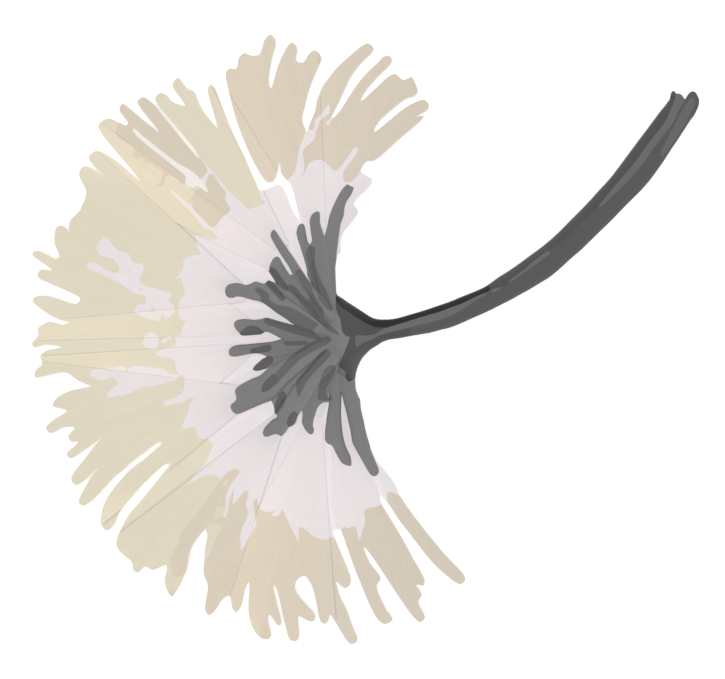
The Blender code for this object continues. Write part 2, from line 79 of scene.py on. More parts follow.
PALE = paint(232, 225, 226, 0.985)
PINK = paint(230, 222, 225)
CREAM = paint(224, 216, 195, 0.973)
TAN = paint(218, 207, 189, 0.972)
TAN_1 = paint(216, 204, 187, 0.98)
TAN_2 = paint(214, 203, 186, 0.982)
OFFWHITE = paint(241, 238, 233, 0.975)
GREY = paint(123, 123, 123)
STREAK = paint(101, 101, 101)
DARK = paint(94, 94, 94)
STEM = paint(92, 92, 92, gloss=0.0145)
UPPER = paint(86, 86, 86, gloss=0.0155)
# painted shadow: the near-black strip along the upper edge of the receptacle and stalk
SHADOW_STRIP = paint(56, 56, 56, gloss=0.017)
# SHINE and SHINE_2 are painted highlights along the stalk; the cut face takes SHINE too
SHINE = paint(109, 109, 109, gloss=0.016)
SHINE_2 = paint(106, 106, 106, gloss=0.016)


# ------------------------------------------------------------ plan helpers
def on(ox, oy, scale, pts):
    """Points read on an enlarged sheet whose corner is (ox, oy)."""
    return [(ox + x / scale, oy + y / scale) for x, y in pts]


def polar(r, deg):
    a = math.radians(deg)
    return (HEAD_X + r * math.cos(a), HEAD_Y - r * math.sin(a))


def radius(p):
    return math.hypot(p[0] - HEAD_X, HEAD_Y - p[1])


def angle(p):
    a = math.degrees(math.atan2(HEAD_Y - p[1], p[0] - HEAD_X))
    return a + 360.0 if a < -20.0 else a


def place(p, z):
    """The point at height z that the camera sees at drawing point p."""
    k = (CAM_D + HEAD_Z - z) / CAM_D
    cx, cy = 362.5, 339.5
    x = cx + (p[0] - cx) * k
    y = cy + (p[1] - cy) * k
    return ((x - SHEET_X) * DU, (SHEET_Y - y) * DU, z)


def smoothstep(a, b, x):
    t = min(1.0, max(0.0, (x - a) / (b - a)))
    return t * t * (3.0 - 2.0 * t)


def seam(notch, base_deg, side):
    r_n, a_n = radius(notch), angle(notch)
    out = []
    for t in (0.12, 0.4, 0.7, 1.0):
        r = r_n + (BASE_R - r_n) * t
        a = a_n + (base_deg - a_n) * t
        shift = side * OVERLAP * min(1.0, (r_n - r) / 15.0)
        out.append(polar(r, a + math.degrees(shift / r)))
    return out


def signed_area(poly):
    return 0.5 * sum(poly[i - 1][0] * poly[i][1] - poly[i][0] * poly[i - 1][1]
                     for i in range(len(poly)))


def wound(poly):
    return list(poly) if signed_area(poly) > 0 else list(poly)[::-1]


def curve_through(pts, step, closed=True, corners=()):
    """A smooth line through the points, with a point about every step, and
    sharp corners at the points whose places in the list are given."""
    if corners:
        turn = sorted(corners)
        ring = list(pts[turn[0]:]) + list(pts[:turn[0]]) + [pts[turn[0]]]
        cuts = [c - turn[0] for c in turn] + [len(ring) - 1]
        out = []
        for a, b in zip(cuts, cuts[1:]):
            out += curve_through(ring[a:b + 1], step, closed=False)[:-1]
        return out
    n = len(pts)
    out = []
    last = n if closed else n - 1
    for i in range(last):
        p1, p2 = pts[i], pts[(i + 1) % n]
        if closed:
            p0, p3 = pts[i - 1], pts[(i + 2) % n]
        else:
            p0 = pts[i - 1] if i else (2 * p1[0] - p2[0], 2 * p1[1] - p2[1])
            p3 = pts[i + 2] if i + 2 < n else (2 * p2[0] - p1[0], 2 * p2[1] - p1[1])
        d1 = max(1e-6, math.dist(p0, p1)) ** 0.5
        d2 = max(1e-6, math.dist(p1, p2)) ** 0.5
        d3 = max(1e-6, math.dist(p2, p3)) ** 0.5
        ctl = []
        for k in (0, 1):
            b1 = (d1 * d1 * p2[k] - d2 * d2 * p0[k]
                  + (2 * d1 * d1 + 3 * d1 * d2 + d2 * d2) * p1[k]) / (3 * d1 * (d1 + d2))
            b2 = (d3 * d3 * p1[k] - d2 * d2 * p3[k]
                  + (2 * d3 * d3 + 3 * d3 * d2 + d2 * d2) * p2[k]) / (3 * d3 * (d3 + d2))
            ctl.append((b1, b2))
        m = max(1, int(round(math.dist(p1, p2) / step)))
        for j in range(m):
            t = j / m
            u = 1 - t
            out.append(tuple(u ** 3 * p1[k] + 3 * u * u * t * ctl[k][0]
                             + 3 * u * t * t * ctl[k][1] + t ** 3 * p2[k]
                             for k in (0, 1)))
    if not closed:
        out.append(tuple(pts[-1]))
    return out


def nearest_on(pts, segs):
    """Distance of every point to the nearest of short segments (n, 2, 2)."""
    a, b = segs[:, 0], segs[:, 1]
    ln = np.hypot(*(b - a).T)
    parts = np.maximum(1, np.ceil(ln / 2.0)).astype(int)
    owner = np.repeat(np.arange(len(segs)), parts)
    step = np.arange(len(owner)) - np.repeat(np.cumsum(parts) - parts, parts)
    t = (step + 0.5) / parts[owner]
    mids = a[owner] + (b[owner] - a[owner]) * t[:, None]
    tree = KDTree(len(mids))
    for i, (x, y) in enumerate(mids.tolist()):
        tree.insert((x, y, 0.0), i)
    tree.balance()
    near = np.array([[hit[1] for hit in tree.find_n((x, y, 0.0), 3)]
                     for x, y in np.asarray(pts, float).tolist()])
    out = np.full(len(near), 1e9)
    p = np.asarray(pts, float)
    for k in range(near.shape[1] if len(near) else 0):
        s0 = owner[near[:, k]]
        d = b[s0] - a[s0]
        u = ((p - a[s0]) * d).sum(1) / np.maximum((d * d).sum(1), 1e-12)
        r = p - a[s0] - np.clip(u, 0.0, 1.0)[:, None] * d
        out = np.minimum(out, np.hypot(r[:, 0], r[:, 1]))
    return out


def edge_distance(pts, poly):
    """Distance of every point to a closed outline."""
    if not len(pts):
        return np.zeros(0)
    a = np.asarray(poly, float)
    return nearest_on(pts, np.stack([a, np.roll(a, -1, axis=0)], 1))


def is_inside(pts, poly):
    pts = np.asarray(pts, float)
    a = np.asarray(poly, float)
    b = np.roll(a, 1, axis=0)
    lo, hi = np.minimum(a[:, 1], b[:, 1]), np.maximum(a[:, 1], b[:, 1])
    out = np.zeros(len(pts), bool)
    order = np.argsort(pts[:, 1]) if len(pts) else np.zeros(0, int)
    for s in range(0, len(pts), 250):
        part = order[s:s + 250]
        x, y = pts[part, None, 0], pts[part, None, 1]
        e = (hi > y.min()) & (lo <= y.max())
        if not e.any():
            continue
        p, q = a[e], b[e]
        span = (p[None, :, 1] > y) != (q[None, :, 1] > y)
        dy = np.where(q[:, 1] == p[:, 1], 1e-9, q[:, 1] - p[:, 1])
        cut = (q[None, :, 0] - p[None, :, 0]) * (y - p[None, :, 1]) / dy[None] + p[None, :, 0]
        out[part] = (span & (x < cut)).sum(1) % 2 == 1
    return out


# ------------------------------------------------------------ outline of the head
RIMS = {
    1: on(200, 25, 6.533, [
        (892, 1520), (918, 1480), (915, 1435), (930, 1370), (1000, 1275),
        (1035, 1215), (1005, 1165), (1110, 1050), (1125, 1010), (1052, 955),
        (1090, 890), (1135, 885), (1300, 745), (1463, 594), (1414, 597),
        (1485, 553), (1497, 525), (1465, 488), (1420, 498), (1340, 540),
        (1137, 697), (1165, 635), (1255, 550), (1350, 478), (1400, 462),
        (1422, 435), (1400, 365), (1385, 338), (1330, 358), (1275, 320),
        (1240, 330), (1140, 420), (1052, 497), (1075, 440), (1150, 350),
        (1255, 230), (1230, 198)])
       + [(382.9, 57.1), (378, 62.3), (374.9, 65.1), (369.9, 69.8),
        (366.5, 73.2), (363.4, 76.6), (360.3, 80.2), (357.2, 84.4),
        (353.5, 89.6), (349.9, 95.3), (346.8, 100), (343.6, 105.2),
        (340.5, 109.9), (337.4, 113.6), (334.8, 116.4), (332.4, 118.3),
        (331.3, 117.6), (333.5, 113), (335.3, 109.4), (338.4, 103.1),
        (341.5, 96.4), (344.4, 90.1), (346, 87), (347.8, 82.8), (349.4, 79.2),
        (351.4, 75.5), (354, 71.9), (356.6, 68.3), (359.3, 65.1), (361.9, 62)
        ] + on(200, 25, 6.533, [(1135, 155), (1100, 120), (1070, 128)])
       + [(341, 63.6), (338.4, 66.2), (335.8, 68.8), (333.2, 71.9),
        (330.1, 76.1), (328, 78.8), (323.2, 85), (320.8, 90), (318.8, 95),
        (317, 100), (316.2, 105), (315.2, 110), (313.5, 115), (311.2, 120),
        (309.3, 125), (308.2, 129.6)],
    2: on(200, 25, 6.533, [
        (690, 692), (676, 653), (668, 621), (670, 588), (679, 555), (687, 523),
        (694, 490), (703, 457), (712, 425), (722, 392), (735, 359), (749, 327),
        (763, 294), (777, 261), (795, 215), (750, 163), (715, 185),
        (672, 243), (628, 232), (635, 150), (605, 113), (580, 127), (515, 250),
        (462, 413), (450, 350), (468, 220), (493, 98), (460, 62), (425, 90),
        (385, 192), (330, 197), (288, 182), (255, 212), (235, 285), (190, 283),
        (168, 312), (180, 400), (250, 660), (370, 930), (440, 1025), (485, 1015),
        (522, 888), (530, 965), (560, 1008), (592, 1040), (655, 1278)]),
    3: on(200, 25, 6.533, [
        (652, 1280), (615, 1230), (545, 1070), (510, 1040), (455, 1062),
        (390, 1082)])
       + [(257, 185), (254.5, 180), (252, 174.5), (250, 169.5), (247.5, 164),
        (245, 158.5), (242.5, 153), (240, 148), (237, 141.5), (234, 135.5),
        (232, 131), (230, 126.5), (228, 121.5), (225, 114), (222, 106),
        (220.3, 102), (219, 98), (217.5, 94), (215, 88), (213, 85.5),
        (211, 84.3), (209.3, 85), (208.3, 86.8), (207.8, 89.5), (208, 93),
        (209, 97), (210.3, 102), (212.8, 110), (214.8, 117.5), (216.8, 124.5),
        (217.7, 127), (217, 127.9), (215.5, 126.5), (213.5, 124), (210, 119.8),
        (207, 116), (204, 112), (202, 109.2), (199.2, 104.5), (197.1, 99)
        ] + on(50, 60, 6.533, [(945, 210), (890, 180), (835, 115), (800, 155),
                               (815, 200)])
       + [(178.9, 95.5), (180.9, 98.4), (182.9, 101.8), (185, 104.7),
        (185.4, 105.9), (184, 106.1), (180.2, 104.6), (175.5, 103.1),
        (172.1, 101.4), (169, 98.4), (166.8, 95.3)
        ] + on(50, 60, 6.533, [(720, 213)])
       + [(156.6, 95.3), (155.1, 99), (156.2, 102.4), (159.9, 107.5),
        (164, 112.6), (168.7, 118), (172.1, 122.1), (176.8, 127.5),
        (180.2, 131.6), (184.3, 136.3), (188.3, 141.4), (192.4, 146.5),
        (195.8, 151.2), (199.6, 156.8)],
    4: [(198.8, 158.2), (195.1, 154.6), (191, 149.8), (187, 145.1),
        (182.9, 140.1), (178.9, 135.3), (175.5, 130.9), (172.1, 126.8),
        (168, 121.7), (162.6, 115.3), (158.5, 109.9), (155.2, 105.8),
        (152.4, 103.1), (149, 100.2), (145, 97.6)
        ] + on(50, 60, 6.533, [
        (600, 243), (570, 270), (585, 305),
        (712, 470), (520, 318), (475, 285), (452, 322), (510, 415), (490, 427),
        (450, 410)]),
    5: on(50, 60, 6.533, [
        (450, 410), (380, 382), (315, 422), (335, 475), (592, 795), (410, 645),
        (300, 593), (253, 635), (285, 690), (365, 762), (225, 693), (188, 738),
        (235, 860), (224, 915), (210, 947), (195, 980), (173, 1006),
        (150, 1026), (133, 1045), (124, 1068), (123, 1098), (130, 1122)]),
    6: on(20, 215, 7.467, [
        (372, 128), (330, 87), (290, 78), (265, 105), (258, 215), (292, 308),
        (275, 328), (120, 265), (90, 292), (240, 413), (155, 408), (128, 448),
        (150, 480), (187, 495), (224, 511), (261, 529), (299, 544), (336, 561),
        (373, 579), (411, 597), (435, 609), (448, 623), (445, 638), (435, 653)]),
    7: on(20, 215, 7.467, [
        (410, 663), (200, 605), (110, 612), (92, 640), (190, 725), (224, 747),
        (261, 767), (299, 782), (336, 794), (363, 802),
        (315, 820), (215, 797), (130, 850), (138, 890), (88, 962), (105, 988),
        (190, 970), (302, 988), (190, 1015), (150, 1055), (165, 1115),
        (118, 1155), (110, 1212), (200, 1198), (340, 1177), (430, 1235),
        (525, 1272)]),
    8: on(30, 380, 6.535, [
        (395, 40), (250, 75), (165, 125), (148, 170), (190, 185), (240, 200),
        (150, 262), (103, 310), (130, 348), (215, 310), (290, 312), (248, 368),
        (270, 405), (315, 404), (238, 485), (262, 512), (330, 475), (475, 378)]),
    9: on(30, 380, 6.535, [
        (475, 380), (360, 510), (268, 650), (300, 687), (350, 660), (447, 570),
        (380, 665), (318, 800), (345, 822), (400, 790), (560, 625), (588, 605),
        (667, 535), (745, 476), (823, 417), (850, 404), (863, 411), (823, 452),
        (784, 484), (745, 519), (706, 546), (651, 590), (627, 613), (588, 660),
        (565, 686), (538, 719), (516, 752), (497, 784), (482, 817), (471, 850),
        (464, 882), (461, 908), (461, 940), (500, 985),
        (545, 950), (585, 865), (740, 680), (885, 552), (920, 545)]),
    10: on(30, 380, 6.535, [
        (920, 547), (740, 770), (630, 905), (563, 1075), (600, 1135),
        (665, 1190), (675, 1245), (705, 1260), (750, 1220), (800, 1243),
        (890, 1213), (880, 1330), (925, 1415), (955, 1380), (1022, 1240),
        (1055, 1095), (1147, 972)]),
    12: on(180, 440, 7.127, [
        (182, 633), (195, 677), (190, 713), (182, 748), (177, 784), (175, 820),
        (173, 855), (168, 950), (198, 1045),
        (178, 1210), (205, 1250), (250, 1215), (300, 1140), (350, 1112),
        (375, 1205), (400, 1228), (430, 1195), (465, 1060), (490, 1012),
        (490, 1240), (530, 1360)])
        + [(262, 638.8), (263.7, 639.2), (266.3, 639.7), (268.9, 639.2),
        (270.6, 637), (271.1, 634.9), (270.2, 631), (268.9, 626.7),
        (268.2, 621.5), (268, 617.2), (268.6, 614.6), (270, 615),
        (271.5, 617.2), (274.1, 620.6), (276.3, 624.1), (278.4, 625.8),
        (280.5, 625.4), (281.5, 622.6), (281, 619.8), (279.7, 614.6),
        (278.4, 609.4), (276.7, 602.5), (275, 594.7), (273.7, 590),
        (273.2, 586.8)],
    13: [(275.3, 586.2), (276.7, 589.5), (278, 593.8), (279.7, 600.7),
        (281.2, 607.7), (282.7, 614.6), (284, 620.6), (285.3, 625.8),
        (286.6, 631), (287.9, 636.2), (289.7, 639.6), (292.3, 641.2),
        (295.3, 641.5), (297.4, 640.5), (298.7, 637.9), (299, 633.6),
        (298.7, 628.4), (298.1, 623.2), (297.9, 618.9), (298.3, 616.4),
        (300, 616.7), (303.5, 618.5), (306.9, 620.4), (310.4, 621.7),
        (313.4, 621.5), (314.9, 620.2), (315.2, 617.2), (314.3, 614.1),
        (312.6, 611.5), (310, 609.4), (306.1, 605.1), (301.8, 600.3),
        (298.3, 595.6), (295.7, 591.2), (295, 586.9), (295.5, 583.5),
        (297.4, 580), (304.2, 576.1), (308.2, 580), (311.3, 584.8),
        (313, 589.5), (314.7, 595.6), (316, 601.6), (317.3, 608.5),
        (318.6, 614.6), (319.9, 619.8), (321.2, 622.4), (322.9, 623.8),
        (325.5, 623.8), (327.6, 622), (329, 618.9), (329.6, 616),
        (330.4, 614.6), (331.7, 616.4), (333.7, 619.8), (335.6, 622.7),
        (338, 626.6), (340.2, 630.5), (342.4, 633.9), (344.3, 637.3),
        (346.3, 640.2), (348.2, 642.2), (349.9, 643.9), (352.1, 644.4),
        (354.5, 643.6), (356.5, 642.4), (357.5, 640.2), (357.2, 637.3),
        (356, 634.4), (354.5, 631), (353.1, 627.6), (351.6, 623.7),
        (350.4, 620.3), (349, 615.9), (347.7, 612.5), (346.3, 609.1),
        (344.8, 606.2), (343.4, 603.3), (341.4, 599.4), (340, 596),
        (338.8, 592.1), (337.8, 588.7), (336.6, 584.4), (335.5, 581.8),
        (338, 582.9), (340, 585.3), (342.4, 587.3), (345.3, 588.3),
        (347.7, 587.5), (349.7, 585.3), (350.9, 582.4), (351.3, 580)
        ] + on(180, 440, 7.127, [(1195, 920), (1100, 690)])
        + [(333, 533), (333, 531.6), (334.2, 530.2), (336.6, 529.3)],
    14: [(336.9, 529.3), (338.9, 529.7), (340.3, 530.6)]
        + on(180, 440, 7.127, [
        (1150, 655), (1250, 930), (1410, 1280), (1460, 1313), (1515, 1280),
        (1470, 1210), (1403, 1040), (1430, 990), (1350, 870), (1310, 762)])
        + on(330, 470, 8.25, [
        (340, 705), (690, 1215), (745, 1255), (783, 1220), (730, 1090),
        (757, 1030)])
        + [(418.4, 588.6), (416.8, 586.8), (416.2, 585), (417.4, 584.8),
        (420, 585.2), (422.7, 586), (423.9, 585.4), (424.6, 582.9),
        (424.8, 580.3), (424.1, 578.2), (422, 574.5), (420, 570.4),
        (417.9, 566.7), (415.8, 563.1), (413.2, 558.9), (411.1, 554.8),
        (409, 551.1), (406.9, 546.9), (404.9, 543.3), (402.8, 539.6),
        (400.7, 536)
        ] + on(330, 470, 8.25, [(460, 340), (425, 282)]),
    15: on(330, 470, 8.25, [(475, 270), (560, 400)])
        + [(411.4, 536), (413.7, 539.1), (416.3, 542.3), (420, 547.2),
        (423.1, 551.1), (426.2, 555.3), (430.1, 559.7), (433.5, 563.6),
        (436.6, 566.7), (440, 569.9), (442.9, 572.5), (446, 575.1)
        ] + on(330, 470, 8.25, [
        (1030, 925),
        (1080, 942), (1117, 900), (940, 690), (800, 520), (640, 310),
        (580, 215), (530, 110), (445, 0)])
        + on(215, 330, 8.253, [(1330, 1075), (1285, 980), (1235, 830),
                               (1190, 600)]),
}
BASES = {1: (103, 108), 2: (106, 113.5), 3: (114, 127), 4: (127, 134),
         5: (133, 148), 6: (148, 165), 7: (165, 190), 8: (190, 203),
         9: (203, 215), 10: (215, 233), 12: (233, 250), 13: (250, 262),
         14: (262, 270), 15: (270, 277)}
RIM_LEVEL = {1: 0, 2: 1, 3: 0, 4: 1, 5: 0, 6: -1, 7: 0, 8: -1, 9: 0, 10: -1,
             11: 1, 12: 0, 13: -1, 14: 0, 15: -1}
RIGHT_2 = on(200, 25, 6.533, [(650, 830), (625, 950), (645, 1060), (705, 1275)])
LEFT_1 = on(200, 25, 6.533, [(660, 850), (620, 960), (625, 1060), (700, 1300)])
LEFT_4 = on(50, 60, 6.533, [
    (432, 495), (548, 578), (545, 637), (605, 640), (735, 728), (760, 758),
    (848, 790), (885, 812), (975, 835), (905, 930), (1070, 1095)])
RIGHT_5 = on(50, 60, 6.533, [(560, 470), (760, 640), (1000, 860), (1120, 1050)])
STRAND_11 = on(30, 380, 6.535, [
    (1355, 582), (1310, 595), (1250, 650), (980, 1015), (935, 1150),
    (913, 1195), (945, 1285), (1000, 1278), (1024, 1230), (1055, 1095),
    (1147, 972), (1205, 915), (1205, 850), (1280, 820), (1300, 720),
    (1370, 600)]) + [(264.0, 441.0), (280.0, 420.0), (271.0, 413.0),
                     (255.0, 434.0)]


def rim_outline(k):
    if k == 11:
        return list(STRAND_11)
    rim = RIMS[k]
    a0, a1 = BASES[k]
    left = seam(rim[-1], a1, 1.0)
    right = seam(rim[0], a0, -1.0)[::-1]
    if k == 1:
        left = LEFT_1 + [polar(BASE_R, a1)]
        right = [polar(BASE_R, a0)]
    if k == 2:
        right = [polar(BASE_R, a0)] + RIGHT_2[::-1]
        left = [polar(90, 111.5), polar(BASE_R, a1)]
    if k == 3:
        right = [polar(BASE_R, a0), polar(90, 112.6)]
    if k == 4:
        left = LEFT_4 + [polar(BASE_R, a1)]
    if k == 5:
        right = [polar(BASE_R, a0)] + RIGHT_5[::-1]
    if k == 15:
        left = [polar(BASE_R, a1)]
    return right + rim + left


def head_outline():
    ring = []
    for k in sorted(RIMS):
        ring += RIMS[k]
    return ring + [polar(BASE_R, 277), polar(BASE_R, 190), polar(BASE_R, 103)]


# ------------------------------------------------------------ colour zones
# (outline, colour), later ones over earlier ones; the rest is pale.
def dot(cx, cy, r):
    return [(cx + r * math.cos(t * math.pi / 4), cy + r * math.sin(t * math.pi / 4))
            for t in range(8)]


A1 = lambda pts: on(200, 25, 6.533, pts)
A2 = lambda pts: on(50, 60, 6.533, pts)
A3 = lambda pts: on(20, 215, 7.467, pts)
A4 = lambda pts: on(30, 380, 6.535, pts)
A7 = lambda pts: on(180, 440, 7.127, pts)

EDGE_LEFT = A2([
    (979, 633), (1010, 735), (1060, 800), (1100, 900), (1100, 980), (1070, 1050),
    (1058, 1080), (1000, 1098), (1050, 1112), (1080, 1140), (1097, 1160),
    (1085, 1172)]) + A3([
    (1305, 155), (1320, 190), (1315, 225), (1350, 292), (1280, 300), (1240, 320),
    (1220, 345), (1220, 385), (1200, 430), (1155, 480), (1200, 470), (1215, 510),
    (1230, 575), (1215, 610), (1190, 635), (1183, 700), (1190, 750), (1205, 790),
    (1235, 787), (1210, 840), (1200, 890), (1150, 910), (1172, 942), (1110, 990),
    (1060, 1000), (1012, 1040), (1100, 1065), (1140, 1080), (1160, 1105),
    (1163, 1150), (1185, 1180), (1195, 1195), (1210, 1190), (1225, 1215),
    (1222, 1300), (1205, 1335), (1130, 1370), (1080, 1392), (1068, 1410),
    (1080, 1425), (1150, 1410), (1205, 1405), (1240, 1385), (1270, 1362),
    (1295, 1378), (1260, 1412), (1262, 1460), (1240, 1510)]) + A4([
    (1040, 205), (1015, 250), (995, 320), (1040, 310), (1070, 303), (1085, 320),
    (1090, 350), (1110, 380), (1165, 388), (1190, 415), (1190, 445), (1150, 530),
    (1085, 610), (1028, 685), (1110, 640), (1150, 620), (1190, 618), (1230, 635),
    (1262, 670), (1275, 740), (1275, 860), (1262, 900), (1258, 940), (1240, 990),
    (1145, 1175), (1120, 1250)])

FILAMENT_ZONES = [
    (A1([(1050, 948), (1005, 1010), (975, 1028), (1008, 1062), (960, 1140),
         (920, 1320), (890, 1520), (905, 1545), (1200, 1520), (1200, 960)]), PINK),
    # cream: the base of the upper tuft, then the whole left side
    (A2([(979, 633), (1100, 775), (1200, 890), (1240, 925), (1300, 972),
         (1350, 958), (1395, 942), (1405, 928), (1380, 905), (1372, 870),
         (1367, 850), (1320, 700), (1210, 445), (1120, 140), (1110, 0),
         (700, 0), (600, 150), (672, 262), (860, 494)]), CREAM),
    (EDGE_LEFT + A4([(1100, 1500), (900, 1700), (-300, 1700), (-300, -500)])
     + A2([(-200, -100), (300, -100), (672, 262), (860, 494)]), CREAM),
    # pale streak
    (A2([(778, 835), (905, 938), (930, 955), (1000, 1030), (1060, 1092),
         (1110, 1060), (1200, 1150), (1097, 1160), (1080, 1140), (1050, 1112),
         (1000, 1098), (985, 1080), (960, 1040), (830, 905), (778, 842)]), PALE),
    # tan of the upper left
    (A2([(450, 405), (438, 440), (432, 492), (460, 520), (505, 543), (545, 568),
         (548, 595), (540, 620), (555, 637), (600, 637), (612, 660), (630, 670),
         (655, 668), (690, 698), (735, 728), (733, 765), (715, 805), (685, 822),
         (725, 826), (742, 812), (752, 790), (762, 757), (790, 760), (835, 780),
         (847, 800), (850, 812), (885, 814), (935, 800), (980, 780), (1015, 750),
         (1028, 722), (1020, 700), (979, 633), (860, 494), (672, 262),
         (600, 150), (400, 200), (440, 330)]), TAN_1),
    (A2([(1030, 762), (1050, 743), (1068, 750), (1110, 815), (1150, 870),
         (1143, 897), (1155, 935), (1178, 970), (1172, 992), (1140, 1015),
         (1110, 1045), (1088, 1080), (1070, 1096), (1050, 1088), (1000, 1040),
         (928, 955), (938, 930), (943, 912), (925, 920), (905, 935), (898, 930),
         (930, 895), (935, 875), (955, 850), (985, 840), (1030, 865),
         (1015, 810), (1020, 785)]), TAN_1),
    (A2([(980, 780), (1015, 750), (1028, 722), (1042, 735), (1030, 765),
         (1018, 800), (1012, 812)]), PALE),
    (A2([(540, 450), (552, 449), (600, 490), (700, 570), (830, 670), (900, 710),
         (950, 745), (985, 785), (1010, 812), (1033, 862), (1022, 862),
         (990, 838), (968, 825), (930, 833), (900, 830), (883, 815), (887, 760),
         (860, 735), (700, 610), (580, 510), (555, 485)]), OFFWHITE),
    # pale patches in the cream
    (A3([(630, 165), (570, 245), (572, 265), (585, 285), (640, 318), (670, 325),
         (700, 327), (712, 352), (740, 385), (745, 405), (735, 425), (700, 430),
         (650, 415), (600, 380), (540, 350), (515, 350), (497, 370), (505, 395),
         (560, 420), (640, 462), (700, 490), (770, 525), (840, 575), (880, 590),
         (940, 608), (930, 665), (890, 665), (870, 675), (857, 700), (857, 725),
         (880, 745), (1000, 785), (1030, 795), (1050, 775), (1070, 735),
         (1075, 760), (1088, 782), (1140, 740), (1155, 720), (1155, 690),
         (1140, 665), (1115, 650), (1115, 620), (1135, 588), (1050, 560),
         (920, 522), (895, 505), (890, 485), (905, 450), (925, 400), (920, 372),
         (900, 360), (850, 358), (835, 340), (820, 305), (800, 285), (770, 278),
         (735, 268), (700, 230)]), PALE),
    (A3(dot(815, 412, 8)), CREAM),
    (A3(dot(903, 554, 10)), CREAM),
    (A3([(970, 718), (985, 698), (1002, 687), (1014, 695), (1008, 712),
         (990, 723)]), CREAM),
    (A3([(965, 873), (1000, 878), (1028, 900), (1035, 940), (1020, 1000),
         (990, 1003), (945, 985), (912, 960), (925, 920)]), PALE),
    (A3([(1053, 945), (1080, 920), (1115, 902), (1140, 912), (1110, 935),
         (1075, 958), (1062, 958)]), PALE),
    (A3([(540, 1158), (522, 1175), (522, 1200), (545, 1218), (620, 1232),
         (660, 1220), (690, 1212), (710, 1222), (735, 1255), (700, 1285),
         (655, 1330), (645, 1345), (660, 1362), (720, 1352), (800, 1340),
         (840, 1322), (885, 1293), (1000, 1275), (1090, 1250), (1150, 1238),
         (1175, 1220), (1192, 1192), (1130, 1190), (1105, 1175), (1080, 1152),
         (1040, 1143), (830, 1130), (812, 1145), (797, 1185), (780, 1133),
         (620, 1150)]), PALE),
    # tan of the two upper tufts
    (A1([(692, 688), (665, 760), (645, 830), (632, 900), (622, 950), (600, 985),
         (567, 1012), (540, 1015), (500, 1030), (460, 1047), (425, 1035),
         (300, 900), (150, 500), (140, 250), (300, 0), (900, 0), (850, 230),
         (760, 400), (712, 560), (698, 640)]), TAN),
    (A1([(1050, 948), (1030, 985), (1005, 1010), (975, 1028), (945, 1022),
         (935, 995), (937, 960), (955, 930), (990, 885), (1030, 825),
         (1030, 800), (1020, 797), (1005, 805), (960, 870), (905, 940),
         (882, 952), (860, 940), (830, 905), (800, 885), (770, 880), (740, 885),
         (712, 905), (690, 950), (672, 1000), (680, 940), (680, 900), (672, 850),
         (672, 820), (700, 790), (740, 755), (755, 720), (760, 690), (772, 665),
         (775, 640), (800, 610), (830, 590), (845, 575), (847, 530), (842, 518),
         (830, 530), (800, 570), (755, 620), (750, 650), (742, 680), (725, 685),
         (706, 686), (720, 600), (765, 420), (855, 250), (905, 40), (1300, -60),
         (1700, 300), (1700, 600), (1250, 870), (1090, 915)]), TAN_1),
    (A1([(866, 601), (852, 640), (838, 655), (825, 650), (820, 635),
         (840, 620)]), PALE),
    # tan of the lower tufts
    (A7([(180, 860), (240, 735), (298, 612), (296, 604), (240, 602), (262, 565),
         (285, 545), (330, 550), (335, 525), (348, 470), (352, 430), (368, 385),
         (385, 355), (380, 400), (375, 455), (400, 435), (440, 385), (460, 362),
         (480, 362), (487, 375), (478, 420), (468, 470), (482, 495), (485, 520),
         (470, 570), (445, 620), (430, 690), (430, 740), (437, 790), (460, 750),
         (543, 590), (535, 540), (522, 450), (530, 430), (550, 418), (557, 450),
         (570, 490), (600, 510), (640, 512), (680, 505), (650, 530), (670, 543),
         (690, 543), (710, 530), (728, 495), (760, 560), (845, 718), (846, 660),
         (850, 625), (860, 620), (890, 635), (950, 685), (990, 705), (1030, 713),
         (1055, 705), (1075, 693), (1098, 700), (1130, 690), (1250, 930),
         (1330, 1200), (1400, 1700), (100, 1700), (60, 1300), (110, 950)]), TAN),
    (A7([(1130, 690), (1153, 645), (1160, 622), (1175, 620), (1195, 628),
         (1240, 615), (1255, 625), (1265, 670), (1278, 715), (1300, 650),
         (1318, 590), (1318, 550), (1310, 515), (1325, 490), (1350, 482),
         (1385, 480), (1410, 470), (1437, 456), (1460, 450), (1478, 430),
         (1475, 400), (1482, 375), (1500, 370), (1530, 378), (1565, 400),
         (1620, 440), (1900, 700), (2100, 1500), (1400, 1700), (1330, 1200),
         (1200, 830)]), TAN_2),
    # the long strand over them
    (A4([(1370, 600), (1355, 582), (1310, 592), (1270, 625), (1250, 650),
         (1110, 840), (980, 1015), (975, 1060), (945, 1110), (935, 1150),
         (913, 1170), (918, 1220), (930, 1260), (945, 1285), (1000, 1278),
         (1024, 1240), (1022, 1200), (1035, 1140), (1075, 1060), (1145, 970),
         (1185, 940), (1205, 920), (1205, 865), (1230, 830), (1275, 820),
         (1275, 780), (1285, 740), (1320, 670), (1365, 615)]), TAN),
    (A4([(1255, 685), (1268, 658), (1296, 645), (1300, 660), (1278, 688),
         (1260, 692)]), CREAM),
    (A4(dot(1246, 781, 9)), CREAM),
    (A4([(905, 1372), (930, 1366), (950, 1378), (950, 1400), (925, 1415),
         (908, 1398)]), TAN),
]

B5 = lambda pts: on(215, 175, 8.253, pts)
B6 = lambda pts: on(215, 330, 8.253, pts)
C5 = lambda pts: on(330, 270, 8.2526, pts)
C6 = lambda pts: on(490, 160, 10.4533, pts)
C7 = lambda pts: on(590, 80, 11.2, pts)

